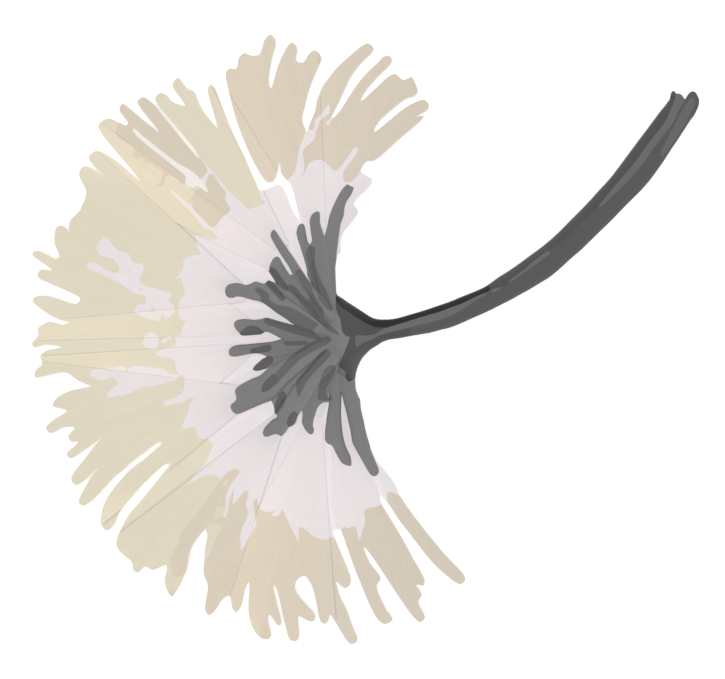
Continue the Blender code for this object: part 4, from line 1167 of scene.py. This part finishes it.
# ------------------------------------------------------------ loose threads
def threads(outlines, height, start, ends, way, seed, most, base_r=0.00006):
    """Single filaments with a small anther at the tip, just under (way -1) or
    over (way 1) a tuft, from the mouth of its calyx to near its fringe."""
    rng = random.Random(seed)
    verts, faces, centres, counts, coords = [], [], [], [], []
    sides = 4
    sx, sy = start
    steps = 7
    for num, deg in enumerate(ends):
        deg += rng.uniform(-0.6, 0.6)
        reach = None
        ex, ey = polar(330.0, deg)
        run = np.linspace(0.12, 1.0, 90)
        tests = np.stack([sx + (ex - sx) * run, sy + (ey - sy) * run], 1)
        good = np.ones(len(run), bool)
        for poly in outlines:
            good &= is_inside(tests, poly)
        # as far as the first place where the thread would leave the tuft
        last = len(run) - 1 if good.all() else int(np.argmin(good)) - 1
        if last < 1:
            continue
        end = tuple(tests[last])
        reach = radius(end) - rng.choice((0.0, 0.0, 6.0, 14.0, 30.0))
        if reach < radius(start) + 40.0:
            continue
        cut = (reach - radius(start)) / (radius(end) - radius(start))
        ex, ey = sx + (end[0] - sx) * cut, sy + (end[1] - sy) * cut
        lift = way * (0.00012 + most * rng.random() ** 1.4)
        bow = rng.uniform(-1.0, 1.0)
        path = []
        for i in range(steps + 1):
            t = 0.04 + 0.96 * i / steps
            px, py = sx + (ex - sx) * t, sy + (ey - sy) * t
            side = bow * math.sin(math.pi * t)
            ln = math.hypot(ex - sx, ey - sy)
            px += -(ey - sy) / ln * side
            py += (ex - sx) / ln * side
            z = height((px, py)) + way * (TUFT_T / 2 + base_r * 1.3) + lift * t ** 1.3
            path.append(((px, py), z, base_r * (1.0 - 0.35 * t)))
        # the anther: a small bead along the last stretch
        (px, py), z, r = path[-1]
        (qx, qy), zq, _ = path[-2]
        ln = math.hypot(px - qx, py - qy)
        ux, uy, uz = (px - qx) / ln, (py - qy) / ln, (z - zq) / (ln * DU)
        for run, size in ((0.5, 1.5), (1.4, 2.0), (2.4, 1.9), (3.1, 1.2)):
            path.append(((px + ux * run, py + uy * run), z + uz * run * DU, r * size))
        first = len(verts)
        for k, ((x, y), zz, rr) in enumerate(path):
            a, b = path[max(0, k - 1)], path[min(len(path) - 1, k + 1)]
            dx, dy = b[0][0] - a[0][0], b[0][1] - a[0][1]
            ln = math.hypot(dx, dy)
            nx, ny = -dy / ln, dx / ln
            for j in range(sides):
                w = 2 * math.pi * j / sides
                off = math.cos(w) * rr / DU
                verts.append(place((x + nx * off, y + ny * off), zz + math.sin(w) * rr))
            coords += [(num * 3.7, k * 0.4, seed)] * sides
            centres.append((x, y))
            counts.append(sides)
        rings = len(path)
        for k in range(rings - 1):
            for j in range(sides):
                m = (j + 1) % sides
                faces.append((first + k * sides + j, first + k * sides + m,
                              first + (k + 1) * sides + m, first + (k + 1) * sides + j))
        faces.append(tuple(first + j for j in range(sides))[::-1])
        faces.append(tuple(first + (rings - 1) * sides + j for j in range(sides)))
    if not faces:
        return None
    tone = color_at(np.array(centres), FILAMENT_ZONES, PALE)
    shade = [tuple(tone[min(f) // sides] * 0.97) for f in faces]
    # all faces look outward: check the first one
    a, b, c = (Vector(verts[i]) for i in faces[0][:3])
    mid = sum((Vector(verts[i]) for i in range(sides)), Vector()) / sides
    if (b - a).cross(c - a).dot(a - mid) < 0:
        faces = [f[::-1] for f in faces]
    return verts, faces, shade, np.array(coords, float)


def color_at(pts, zones, base):
    out = np.tile(np.array(base, float), (len(pts), 1))
    for poly, color in zones:
        out[is_inside(pts, poly)] = color
    return out


# ------------------------------------------------------------ the tufts
def tuft(name, node_name, outline, height, seed, mask=None, more=None,
         trim=(1.0, 1.0, 1.0)):
    def surfaces(pts, d):
        z = np.array([height(p) for p in pts])
        e = 1.5
        q = np.minimum(d, e) / e
        t = TUFT_T / 2 * (0.86 + 0.14 * np.sqrt(1.0 - (1.0 - q) ** 2))
        return z + t, z - t
    plan = plan_mesh(outline, FILAMENT_ZONES, PALE, (0.55, 1.5), NET, mask)
    obj = slab(name, plan, surfaces, head_strand(seed), FILAMENT_MAT, crisp=True,
               even=0.55, more=more, trim=trim)
    finish_piece(obj, node_name)
    return obj


def finish_piece(obj, node_name):
    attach(obj, "root")
    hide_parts(node_name)


# The light between the layers is a little warm, so the deep sheets are cooler.
DEEP, OUTER, UPMOST = (0.952, 0.977, 1.004), (0.982, 0.993, 1.005), (1.01, 1.006, 1.004)
for k in range(1, 16):
    key = "rim_%02d" % k
    outline = curve_through(rim_outline(k), FINE)
    height = lambda p, lv=RIM_LEVEL[k]: rim_height(p, lv)
    if k == 11:
        loose = None
    else:
        spread = [angle(q) for q in RIMS[k]]
        a0, a1 = min(spread), max(spread)
        n = max(8, int((a1 - a0) * 1.7))
        loose = threads([outline, shrink(outline, 2.6)], height,
                        polar(90.0, sum(BASES[k]) / 2),
                        [a0 + (a1 - a0) * (i + 0.5) / n for i in range(n)], -1, k,
                        0.0028)
    tuft("tuft_" + key, "filaments_" + key, outline, height,
         k * 1.37,
         more=loose, trim=DEEP if 5 <= k <= 13 and k != 11 else OUTER)


WHOLE = curve_through(head_outline(), FINE)
INNER = {}
REACH = {"top": 0.1, "mid": 0.35, "low": 4.0, "floor": 7.0}
for key, (tip, half, a0, a1, pull, kind) in FANS.items():
    pull = REACH[key.split("_")[0]]
    if pull not in INNER:
        INNER[pull] = shrink(WHOLE, pull)
    height = lambda p, k=key: fan_height(k, p)
    n = int((a1 - a0) * 2.1)
    fan = fan_outline(tip, a0, a1)
    loose = threads([shrink(WHOLE, pull + 3.0), shrink(fan, 2.6)], height, tip,
                    [a0 + 1.0 + (a1 - a0 - 2.0) * (i + 0.5) / n for i in range(n)],
                    1 if key[:3] in ("low", "flo") else -1, a0,
                    {"top": 0.0042, "mid": 0.0032, "low": 0.0024,
                     "floor": 0.0022}[key.split("_")[0]])
    tuft("tuft_" + key, "filaments_" + key, fan, height,
         a0 * 0.11, INNER[pull], loose, UPMOST)

# ------------------------------------------------------------ the calyces
CALYX = {
    "rim_01": [(330.5, 268, 6.8), (331.5, 238, 7.0), (336, 216, 6.3),
               (342, 200, 5.4), (350.3, 187, 4.0)],
    "rim_02": [(314, 272, 5.6), (306, 250, 5.2), (302, 234, 4.7),
               (301, 226, 3.4)],
    "rim_03": [(297, 298, 5.0), (283, 284, 5.0), (275, 273, 4.4),
               (271.5, 268.5, 3.2)],
    "rim_04": [(297, 310, 4.4), (284, 299, 4.0), (273, 287, 3.8),
               (269, 282.5, 3.0)],
    "rim_07": [(296, 351, 4.8), (275, 359, 4.5), (262, 366, 4.0),
               (255, 369.5, 2.8)],
    "rim_11": [(300, 377, 4.8), (286, 392, 5.0), (280, 402, 4.5),
               (276.5, 411, 3.0)],
    "rim_12": [(311, 386, 5.0), (301, 402, 5.0), (294, 413, 4.8),
               (290, 422, 3.2)],
    "rim_14": [(334, 398, 6.0), (333, 420, 8.0), (335, 438, 7.8),
               (342, 452, 5.8), (348, 462, 4.0)],
    "rim_15": [(351.5, 400, 7.0), (357.5, 425, 7.2), (363, 446, 7.2),
               (370, 462, 6.0), (373.5, 471, 4.6)],
    "mid_1": [(322, 265, 6.5), (317.5, 240, 6.3), (315.2, 224, 5.2),
              (315.8, 215, 3.8)],
    "mid_2": [(300, 293, 6.2), (288, 277, 6.4), (279, 265, 5.2),
              (276, 260, 3.8)],
    "mid_3": [(298, 330, 6.0), (278, 326.5, 6.6), (262, 325, 6.8),
              (248, 326, 7.2), (238, 327, 5.0)],
    "mid_4": [(298, 346, 5.8), (278, 347, 6.0), (258, 349, 5.2),
              (243, 350.8, 5.0), (233, 352.2, 4.0)],
    "mid_5": [(321, 388, 7.0), (312, 407, 6.8), (307.8, 422, 5.6),
              (310, 431, 3.6)],
    "top_1": [(303, 287, 5.2), (287, 262, 5.5), (277, 243, 4.8),
              (273.5, 233, 3.4)],
    "top_2": [(300, 316, 7.5), (280, 304, 9.0), (258, 292.5, 8.6),
              (243, 290.5, 6.3), (230, 290.5, 5.4)],
    "top_3": [(300, 362, 7.5), (282, 374, 10.5), (264, 386, 12.6),
              (250, 394, 12.0), (238, 401, 8.5)],
    "top_4": [(311, 379, 7.5), (300, 395, 9.5), (287, 412, 9.8),
              (277, 424, 8.5), (269, 431.5, 6.0)],
}
FINGERS = {
    "rim_01": B5([(1090, 76), (1146, 103), (1130, 150), (1088, 215), (1070, 265),
                  (1062, 330), (1036, 410), (1026, 480), (1015, 560),
                  (1003, 660), (1003, 690), (993, 760), (993, 800), (998, 900),
                  (1003, 975), (1015, 1000), (1005, 1060), (1015, 1120),
                  (1040, 1200), (1040, 1270), (990, 1270), (950, 1150),
                  (900, 1000), (880, 850), (880, 700), (890, 580), (903, 508),
                  (926, 425), (941, 350), (958, 300), (994, 215), (1029, 150),
                  (1058, 108)]),
    "mid_1": B5([(801, 540), (795, 500), (790, 460), (782, 390), (785, 360),
                 (795, 335), (820, 308), (848, 299), (860, 304), (866, 325),
                 (868, 390), (880, 440), (903, 508), (930, 650), (950, 800),
                 (975, 950), (1020, 1180), (960, 1200), (870, 1010),
                 (825, 850), (800, 700), (788, 610), (785, 575), (793, 560)]),
    "rim_02": B5([(672, 475), (678, 445), (690, 415), (712, 400), (733, 408),
                  (742, 432), (755, 500), (763, 545), (770, 561), (780, 569),
                  (797, 571), (815, 600), (830, 680), (850, 780), (900, 900),
                  (990, 1180), (940, 1200), (840, 1000), (790, 885),
                  (766, 838), (761, 820), (759, 789), (752, 754), (744, 726),
                  (735, 693), (726, 663), (717, 636), (708, 609), (702, 584),
                  (693, 558), (684, 531), (677, 504)]),
    "top_1": B5([(458, 500), (465, 470), (485, 450), (505, 468), (536, 515),
                  (573, 569), (608, 624), (645, 675), (681, 732), (702, 765),
                  (729, 805), (750, 838), (800, 900), (880, 1000), (950, 1100),
                  (1010, 1190), (960, 1220), (880, 1130), (790, 1010),
                  (700, 905), (648, 830), (635, 808), (624, 783), (611, 759),
                  (597, 735), (582, 714), (566, 690), (551, 669), (540, 651),
                  (480, 550)]),
    "mid_2": B5([(447, 768), (466, 715), (485, 685), (508, 673), (528, 680),
                  (537, 690), (549, 714), (564, 741), (579, 765), (593, 789),
                  (607, 809), (615, 820), (624, 824), (640, 821), (673, 846),
                  (727, 900), (776, 957), (860, 1060), (945, 1185),
                  (905, 1215), (780, 1090), (680, 1005), (590, 935),
                  (520, 862), (478, 812), (452, 788)]),
    "rim_03": B5([(441, 790), (444, 772), (456, 755), (478, 745), (515, 790),
                  (560, 860), (605, 925), (700, 1000), (850, 1120),
                  (1000, 1240), (960, 1270), (800, 1180), (640, 1060),
                  (578, 990), (545, 940), (500, 888), (490, 868), (462, 825)]),
    "rim_04": B5([(420, 888), (428, 875), (445, 869), (468, 880), (490, 887),
                  (545, 925), (600, 965), (700, 1040), (860, 1160),
                  (980, 1260), (930, 1290), (760, 1190), (640, 1110),
                  (570, 1060), (520, 1018), (470, 960), (428, 908)]),
    "top_2": B5([(83, 960), (88, 932), (105, 908), (140, 895), (180, 891),
                 (215, 897), (255, 908), (295, 896), (325, 881), (355, 884),
                 (395, 896), (425, 892), (480, 925), (560, 990), (680, 1070),
                 (800, 1160), (900, 1230), (1000, 1300), (980, 1345),
                 (850, 1310), (740, 1275), (660, 1240), (590, 1190),
                 (500, 1130), (385, 1050), (300, 1028), (230, 1008), (180, 1003),
                 (150, 1013), (115, 1013), (95, 998)]),
    "mid_3": B5([(155, 1237), (163, 1212), (185, 1196), (250, 1188), (325, 1195),
                 (385, 1187), (420, 1178), (480, 1192), (560, 1215),
                 (660, 1240), (760, 1265), (860, 1300), (940, 1330),
                 (920, 1380), (800, 1385), (680, 1378), (620, 1367),
                 (555, 1352), (490, 1320), (430, 1293), (405, 1297),
                 (385, 1312), (320, 1320), (250, 1325), (215, 1322),
                 (200, 1303), (175, 1278)]),
    "mid_4": B6([(113, 188), (118, 160), (145, 135), (185, 123), (260, 118),
                 (340, 110), (410, 103), (490, 92), (555, 72), (650, 55),
                 (760, 45), (860, 35), (940, 55), (920, 105), (800, 140),
                 (640, 195), (520, 228), (450, 235), (412, 212), (385, 200),
                 (350, 193), (300, 195), (235, 208), (180, 218), (145, 219),
                 (122, 210)]),
    "rim_07": B6([(311, 328), (325, 300), (355, 270), (398, 235), (440, 219),
                  (520, 205), (620, 175), (760, 115), (880, 60), (900, 115),
                  (780, 185), (640, 240), (540, 275), (470, 300), (425, 318), (385, 330), (350, 338),
                  (325, 335)]),
    "top_3": B6([(165, 507), (170, 487), (190, 467), (220, 448), (290, 410),
                 (365, 378), (400, 352), (427, 325), (505, 275), (667, 195),
                 (850, 95), (960, 60), (990, 110), (899, 180), (735, 320),
                 (601, 440), (520, 530), (460, 583), (440, 590), (400, 605),
                 (300, 648), (190, 692), (165, 690), (140, 665), (127, 637),
                 (135, 612), (160, 595), (175, 572), (173, 545)]),
    "rim_11": B6([(495, 692), (491, 673), (489, 648), (483, 622), (474, 601),
                  (464, 586), (453, 580), (470, 557), (512, 512), (570, 462),
                  (700, 335), (910, 145), (945, 200), (740, 400), (640, 510),
                  (610, 590), (561, 660), (528, 693)]),
    "top_4": B6([(396, 862), (396, 838), (405, 815), (418, 795), (436, 777),
                  (453, 760), (470, 744), (487, 734), (504, 726), (514, 716),
                  (512, 704), (501, 695), (493, 687), (505, 660), (540, 600),
                  (600, 530), (640, 470), (740, 355), (900, 180), (980, 105),
                  (1045, 135), (1030, 230), (950, 340), (850, 450), (780, 570),
                  (720, 660), (683, 708), (662, 765), (613, 800), (603, 808),
                  (593, 825), (576, 849), (559, 867), (545, 876), (535, 873),
                  (522, 864), (501, 860), (477, 864), (453, 875), (429, 881),
                  (408, 878)]),
    "rim_12": B6([(597, 770), (602, 730), (620, 690), (650, 650), (720, 555),
                  (800, 440), (950, 200), (1005, 235), (870, 480), (785, 585),
                  (720, 660), (683, 707), (665, 762), (640, 790), (612, 797)]),
    "mid_5": B6([(718, 765), (722, 700), (720, 660), (740, 560), (790, 430),
                 (860, 310), (950, 195), (1025, 210), (1015, 330), (965, 430),
                 (930, 520), (940, 590), (900, 597), (870, 612), (845, 645),
                 (825, 700), (810, 760), (808, 788), (817, 825), (812, 848),
                 (795, 862), (768, 850), (738, 812)]),
    "rim_14": B6([(940, 590), (925, 700), (908, 850), (909, 905), (925, 935),
                  (950, 946), (968, 957), (1000, 1020), (1045, 1095),
                  (1065, 1109), (1122, 1120), (1125, 1080), (1112, 1030),
                  (1080, 960), (1058, 880), (1045, 780), (1040, 660),
                  (1043, 555), (1046, 430), (1065, 210), (1000, 210),
                  (945, 380), (935, 500)]),
    "rim_15": B6([(1053, 556), (1066, 611), (1077, 652), (1088, 697),
                  (1100, 751), (1117, 825),
                  (1135, 930), (1150, 962), (1210, 1070), (1270, 1175),
                  (1290, 1198), (1312, 1208), (1335, 1200), (1350, 1180),
                  (1353, 1168), (1348, 1141), (1338, 1115), (1320, 1073),
                  (1301, 1025), (1287, 990), (1277, 946), (1265, 907),
                  (1253, 866), (1243, 825), (1234, 781), (1226, 742),
                  (1216, 702), (1207, 660), (1202, 627), (1199, 590),
                  (1197, 571), (1184, 548), (1171, 516), (1163, 489),
                  (1155, 410), (1135, 330), (1120, 215),
                  (1060, 215), (1033, 350), (1024, 450), (1035, 510)]),
}
CORNERS = {"rim_01": (0, 1)}
HIDDEN = {"rim_05": (141.0, 98.0), "rim_06": (156.0, 104.0),
          "rim_08": (197.0, 104.0), "rim_09": (210.0, 100.0),
          "rim_10": (225.0, 102.0), "rim_13": (257.0, 100.0),
          "low_1": (112.0, 96.0), "low_2": (172.0, 98.0), "low_3": (236.0, 96.0),
          "floor_1": (148.0, 84.0), "floor_2": (214.0, 84.0)}
BASE_ANGLE = {"rim_01": 102.0, "rim_02": 119.0, "rim_03": 136.0,
              "rim_04": 152.0, "rim_07": 190.0, "rim_11": 222.0,
              "rim_12": 240.0, "rim_14": 258.0, "rim_15": 275.5,
              "mid_1": 108.0, "mid_2": 138.0, "mid_3": 172.0, "mid_4": 196.0,
              "mid_5": 246.0, "top_1": 122.0, "top_2": 158.0, "top_3": 206.0,
              "top_4": 240.0}
RING_START = {"rim": (45.0, 5.0), "under": (40.0, 5.0), "mid": (39.0, 5.2),
              "top": (26.5, 5.0), "low": (32.0, 5.0), "floor": (16.5, 5.0)}


def calyx_height(ring, p, half):
    m = radius(p) * DU
    r = half * DU
    if ring == "rim":
        return rim_height(p) + STEP_Z + SHEET_T / 2 + GAP + r + 0.00005
    if ring == "under":
        return rim_height(p) - STEP_Z - SHEET_T / 2 - GAP - r - 0.00005
    return calyx_line(ring, m)


def axis_widths(pts, line):
    """The half width that the calyx has beside each point, from its line."""
    xy = np.array([(x, y) for x, y, _w in line])
    w = np.array([q[2] for q in line])
    best = np.full(len(pts), 1e9)
    out = np.zeros(len(pts))
    for i in range(len(xy) - 1):
        d = xy[i + 1] - xy[i]
        t = np.clip(((pts - xy[i]) @ d) / (d @ d), 0.0, 1.0)
        r = pts - xy[i] - t[:, None] * d
        dist = np.hypot(r[:, 0], r[:, 1])
        near = dist < best
        best = np.where(near, dist, best)
        out = np.where(near, w[i] + (w[i + 1] - w[i]) * t, out)
    return out


def axis_side(pts, line):
    """How far each point is to the side of a line."""
    return calyx_strand(line, 0.0)(pts)[:, 0]


def calyx_strand(line, seed):
    xy = np.array([(x, y) for x, y, _w in line])
    run = np.concatenate([[0.0], np.cumsum(np.hypot(*np.diff(xy, axis=0).T))])

    def f(pts):
        best = np.full(len(pts), 1e9)
        along = np.zeros(len(pts))
        side = np.zeros(len(pts))
        for i in range(len(xy) - 1):
            d = xy[i + 1] - xy[i]
            ln = math.hypot(*d)
            t = np.clip(((pts - xy[i]) @ d) / (d @ d), 0.0, 1.0)
            r = pts - xy[i] - t[:, None] * d
            dist = np.hypot(r[:, 0], r[:, 1])
            near = dist < best
            best = np.where(near, dist, best)
            along = np.where(near, run[i] + t * ln, along)
            cross = (r[:, 0] * d[1] - r[:, 1] * d[0]) / ln
            side = np.where(near, cross, side)
        return np.stack([side, along / 100.0, np.full(len(pts), seed)], 1)
    return f


def rounded(x, power):
    return (1.0 - (1.0 - np.clip(x, 0.0, 1.0)) ** power) ** (1.0 / power)


def hidden_outline(plan):
    """The outline of a plain round finger from its line."""
    left, right = [], []
    n = len(plan)
    for i in range(n):
        x, y, w = plan[i]
        x0, y0, _ = plan[max(0, i - 1)]
        x1, y1, _ = plan[min(n - 1, i + 1)]
        ln = math.hypot(x1 - x0, y1 - y0)
        tx, ty = (x1 - x0) / ln, (y1 - y0) / ln
        left.append((x - ty * w, y + tx * w))
        right.append((x + ty * w, y - tx * w))
    x, y, w = plan[-1]
    tip = (x + tx * w * 0.9, y + ty * w * 0.9)
    return left + [tip] + right[::-1]


for key in list(CALYX) + list(HIDDEN):
    ring = key.split("_")[0]
    if key in HIDDEN:
        deg, tip = HIDDEN[key]
        ring = "under" if ring == "rim" else ring
        r0, w0 = RING_START[ring]
        line = [(*polar(r0, deg), w0)]
        for t, w in ((0.3, 5.6), (0.6, 6.0), (0.85, 5.6), (1.0, 4.0)):
            line.append((*polar(r0 + (tip - r0) * t, deg), w))
        outline = hidden_outline(line)
        zones = []
    else:
        r0, w0 = RING_START[ring]
        line = [(*polar(r0, BASE_ANGLE[key]), w0)] + CALYX[key]
        outline = FINGERS[key]
        zones = CALYX_ZONES

    def surfaces(pts, d, line=line, ring=ring):
        w = np.maximum(axis_widths(pts, line), 2.0)
        mid = np.array([calyx_height(ring, p, h) for p, h in zip(pts, w)])
        t = w * DU * (0.12 + 0.88 * rounded(d / w, 2.7))
        return mid + t, mid - t

    plan = plan_mesh(curve_through(outline, 1.5, corners=CORNERS.get(key, ())),
                     zones, GREY, (0.35, 1.0, 2.0), 3.2)
    obj = slab("finger_" + key, plan, surfaces,
               calyx_strand(line, len(key) + line[1][0] * 0.1), CALYX_MAT,
               even=0.6)
    finish_piece(obj, "calyx_" + key)

# ------------------------------------------------------------ the stem
# Pairs of points on the two edges of the stem, from the receptacle to the cut.
UPPER_EDGE = on(-0.3, -0.35, 1, [
              (337.3, 295.4), (340, 296.9), (345, 300.3), (350, 303.7),
              (355, 306.9), (360, 310.1), (365, 313.4), (370, 316.6),
              (375, 318.9), (380, 319.7), (385, 319.8), (390, 319.7),
              (395, 319), (400, 317.9), (410, 315), (420, 312.1), (430, 308.9),
              (440, 305.5), (450, 302), (460, 297.9), (470, 293.9),
              (480, 289.7), (485, 287.3), (490, 284), (500, 276.9),
              (510, 270.6), (520, 263.6), (530, 256.2), (540, 248.9),
              (550.5, 240.4), (561.5, 230.2), (571.2, 220.3), (581.2, 210.3), (591, 200),
              (600, 190), (609.3, 180), (617.2, 170), (624.6, 160), (632, 150),
              (639.4, 140), (647, 130), (654.4, 120), (662, 110), (666.1, 105),
              (669.5, 100)])
LOWER_EDGE = on(0.4, 0.5, 1, [
              (349.4, 382.1), (354.9, 378), (355.3, 374.3), (356, 371.4),
              (356.8, 368.6), (357.8, 365.7), (359.1, 362.9), (360.5, 360),
              (361.9, 357.7), (363.7, 355.5), (365.9, 353.2), (368, 351.1),
              (370.1, 349.2), (372.6, 347.5), (375.1, 346), (378, 344.1),
              (381, 342.1), (385, 340.3), (390, 338.9), (400, 337.5),
              (410, 335.6), (420, 333.9), (430, 332.2), (440, 329.5),
              (450, 327), (459.8, 323.2), (469.8, 318.7), (479.8, 314.3),
              (489.8, 309.8), (499.6, 304.8), (509.6, 299.8), (519.6, 294.2),
              (529.6, 288.7), (539.8, 282.5), (549.8, 276.2), (559.6, 268.2),
              (569.2, 259.3), (580, 250), (590.4, 240), (600.6, 230), (611, 220),
              (620.6, 210), (630.5, 200), (640.5, 190), (649.7, 179.5),
              (657.1, 169.5), (664.1, 159.5), (670.5, 149.5), (677.3, 139.5),
              (683.8, 129.5), (690.3, 119.5), (693.8, 115)])
# the cut end, from the upper edge to the lower one
CUT = [(669.5, 100), (671.2, 95), (671.7, 92.2), (673.1, 90.8), (674.6, 91.5),
       (675.6, 93), (677.4, 93.5), (679.8, 93.7), (682.5, 95.8), (684, 98.2),
       (685.4, 99), (686.4, 97.4), (687.6, 95.4), (690, 92.5), (692.9, 91.3),
       (695.7, 92.6), (697.7, 96), (699.1, 99.8), (699, 103.4), (698, 107.5),
       (696.6, 110.5), (694.2, 115.5)]
STALK = [(386, 329), (398, 326.5), (420, 321.5), (442, 315), (466, 306.5),
         (489, 297), (512, 284.5), (530, 272.5), (548, 259.5), (568, 242.5),
         (588, 224), (605, 206.5), (622, 187), (640, 164), (655, 144),
         (668, 126), (678, 111), (685.5, 98.5)]
STALK_END_Z = 0.00124
RUN = [0.0]
for p, q in zip(STALK, STALK[1:]):
    RUN.append(RUN[-1] + math.dist(p, q))


def stalk_height(p):
    """Height of the stalk's centre line beside a plan point."""
    best, s = 1e9, 0.0
    for i in range(len(STALK) - 1):
        ax, ay = STALK[i]
        dx, dy = STALK[i + 1][0] - ax, STALK[i + 1][1] - ay
        t = max(0.0, min(1.0, ((p[0] - ax) * dx + (p[1] - ay) * dy) / (dx * dx + dy * dy)))
        d = math.hypot(p[0] - ax - t * dx, p[1] - ay - t * dy)
        if d < best:
            best, s = d, RUN[i] + t * (RUN[i + 1] - RUN[i])
    return HEAD_Z + (STALK_END_Z - HEAD_Z) * smoothstep(0.0, 1.0, s / RUN[-1])


KNOB = [(-38.5, 9.0), (-34.0, 20.0), (-26.0, 29.5), (-13.0, 37.0), (-1.0, 39.6),
        (4.0, 37.5), (9.0, 31.0), (14.0, 25.0), (21.0, 18.6), (30.0, 13.0)]
STALK_R = [10.4, 9.8, 10.2, 10.8, 11.2, 11.6, 12.4, 13.0, 13.6, 14.2, 14.6, 14.6,
           14.8, 15.0, 14.8, 14.4, 13.4, 11.8]
AXIS_DEG = 11.7


def stem_piece():
    """The receptacle and the stalk, round in section, with a ragged cut."""
    a = math.radians(AXIS_DEG)
    line = [(HEAD_X + q * math.cos(a), HEAD_Y - q * math.sin(a), r) for q, r in KNOB]
    line += [(x, y, r) for (x, y), r in zip(STALK, STALK_R)]
    top_edge = curve_through(UPPER_EDGE, FINE, closed=False)
    low_edge = curve_through(LOWER_EDGE, FINE, closed=False)
    cut = curve_through(CUT, 0.8, closed=False)
    back = [polar(39.0, 255.0 - 149.0 * i / 50.0) for i in range(51)]
    outline = top_edge[:-1] + cut[:-1] + low_edge[::-1] + back

    def surfaces(pts, d):
        w = np.maximum(axis_widths(pts, line), 3.0)
        mid = np.array([stalk_height(p) for p in pts])
        rise = w * DU * (0.10 + 0.88 * rounded(d / w, 2.3))
        # shallow ribs that run along the stalk
        side = axis_side(pts, line) / w
        rise *= 1.0 - 0.022 * (0.5 + 0.5 * np.cos(15.0 * side)) * np.clip(d / 4.0, 0, 1)
        return mid + rise, np.maximum(mid - rise, 0.00002)

    zones = STEM_ZONES
    plan = plan_mesh(outline, zones, STEM, (0.35, 1.0, 2.2, 4.0), 3.6)
    ax, ay = STALK[-2][0] - STALK[-1][0], STALK[-2][1] - STALK[-1][1]
    ln = math.hypot(ax, ay)
    obj = slab("stalk", plan, surfaces, calyx_strand(line, 0.0), STEM_MAT,
               cut=(cut, (ax / ln, ay / ln), SHINE))
    finish_piece(obj, "stem")
    return obj


stem_piece()

# ------------------------------------------------------------ floor, light, camera
mesh = bpy.data.meshes.new("floor")
size = 3.0
mesh.from_pydata([(-size, -size, 0), (size, -size, 0), (size, size, 0),
                  (-size, size, 0)], [], [(0, 1, 2, 3)])
floor = bpy.data.objects.new("floor", mesh)
bpy.context.scene.collection.objects.link(floor)
mat, nt, bsdf = new_material("floor")
bsdf.inputs["Base Color"].default_value = (0.88, 0.88, 0.88, 1.0)
bsdf.inputs["Roughness"].default_value = 0.9
bsdf.inputs["Specular IOR Level"].default_value = 0.0
bsdf.inputs["Emission Color"].default_value = (1.0, 1.0, 1.0, 1.0)
bsdf.inputs["Emission Strength"].default_value = 0.35
mesh.materials.append(mat)

world = bpy.data.worlds.new("studio")
bpy.context.scene.world = world
world.use_nodes = True
wn = world.node_tree
wn.nodes.clear()
w_out = node(wn, "ShaderNodeOutputWorld", 400, 0)
w_mix = node(wn, "ShaderNodeMixShader", 200, 0)
w_path = node(wn, "ShaderNodeLightPath", 0, 200)
w_fill = node(wn, "ShaderNodeBackground", 0, 0)
w_seen = node(wn, "ShaderNodeBackground", 0, -150)
w_fill.inputs["Color"].default_value = (1.0, 1.0, 1.0, 1.0)
w_fill.inputs["Strength"].default_value = SKY
w_seen.inputs["Color"].default_value = (1.0, 1.0, 1.0, 1.0)
w_seen.inputs["Strength"].default_value = 1.1
wn.links.new(w_path.outputs["Is Camera Ray"], w_mix.inputs["Fac"])
wn.links.new(w_fill.outputs["Background"], w_mix.inputs[1])
wn.links.new(w_seen.outputs["Background"], w_mix.inputs[2])
wn.links.new(w_mix.outputs["Shader"], w_out.inputs["Surface"])

sun = bpy.data.lights.new("overhead", 'SUN')
sun.energy = math.pi * SUN
sun.angle = math.radians(2.0)
sun_obj = bpy.data.objects.new("overhead", sun)
sun_obj.location = (0.0, 0.0, 0.5)
bpy.context.scene.collection.objects.link(sun_obj)

cam = bpy.data.cameras.new("camera")
cam.sensor_width = 36.0
cam.lens = 1000.0
cam.clip_start = 0.05
cam.clip_end = 100.0
cam_obj = bpy.data.objects.new("camera", cam)
cam_obj.location = ((362.5 - SHEET_X) * DU, (SHEET_Y - 339.5) * DU, CAM_D + HEAD_Z)
bpy.context.scene.collection.objects.link(cam_obj)
bpy.context.scene.camera = cam_obj

scene = bpy.context.scene
scene.view_settings.view_transform = 'Standard'
scene.view_settings.look = 'None'
scene.view_settings.exposure = 0.0
scene.view_settings.gamma = 1.0
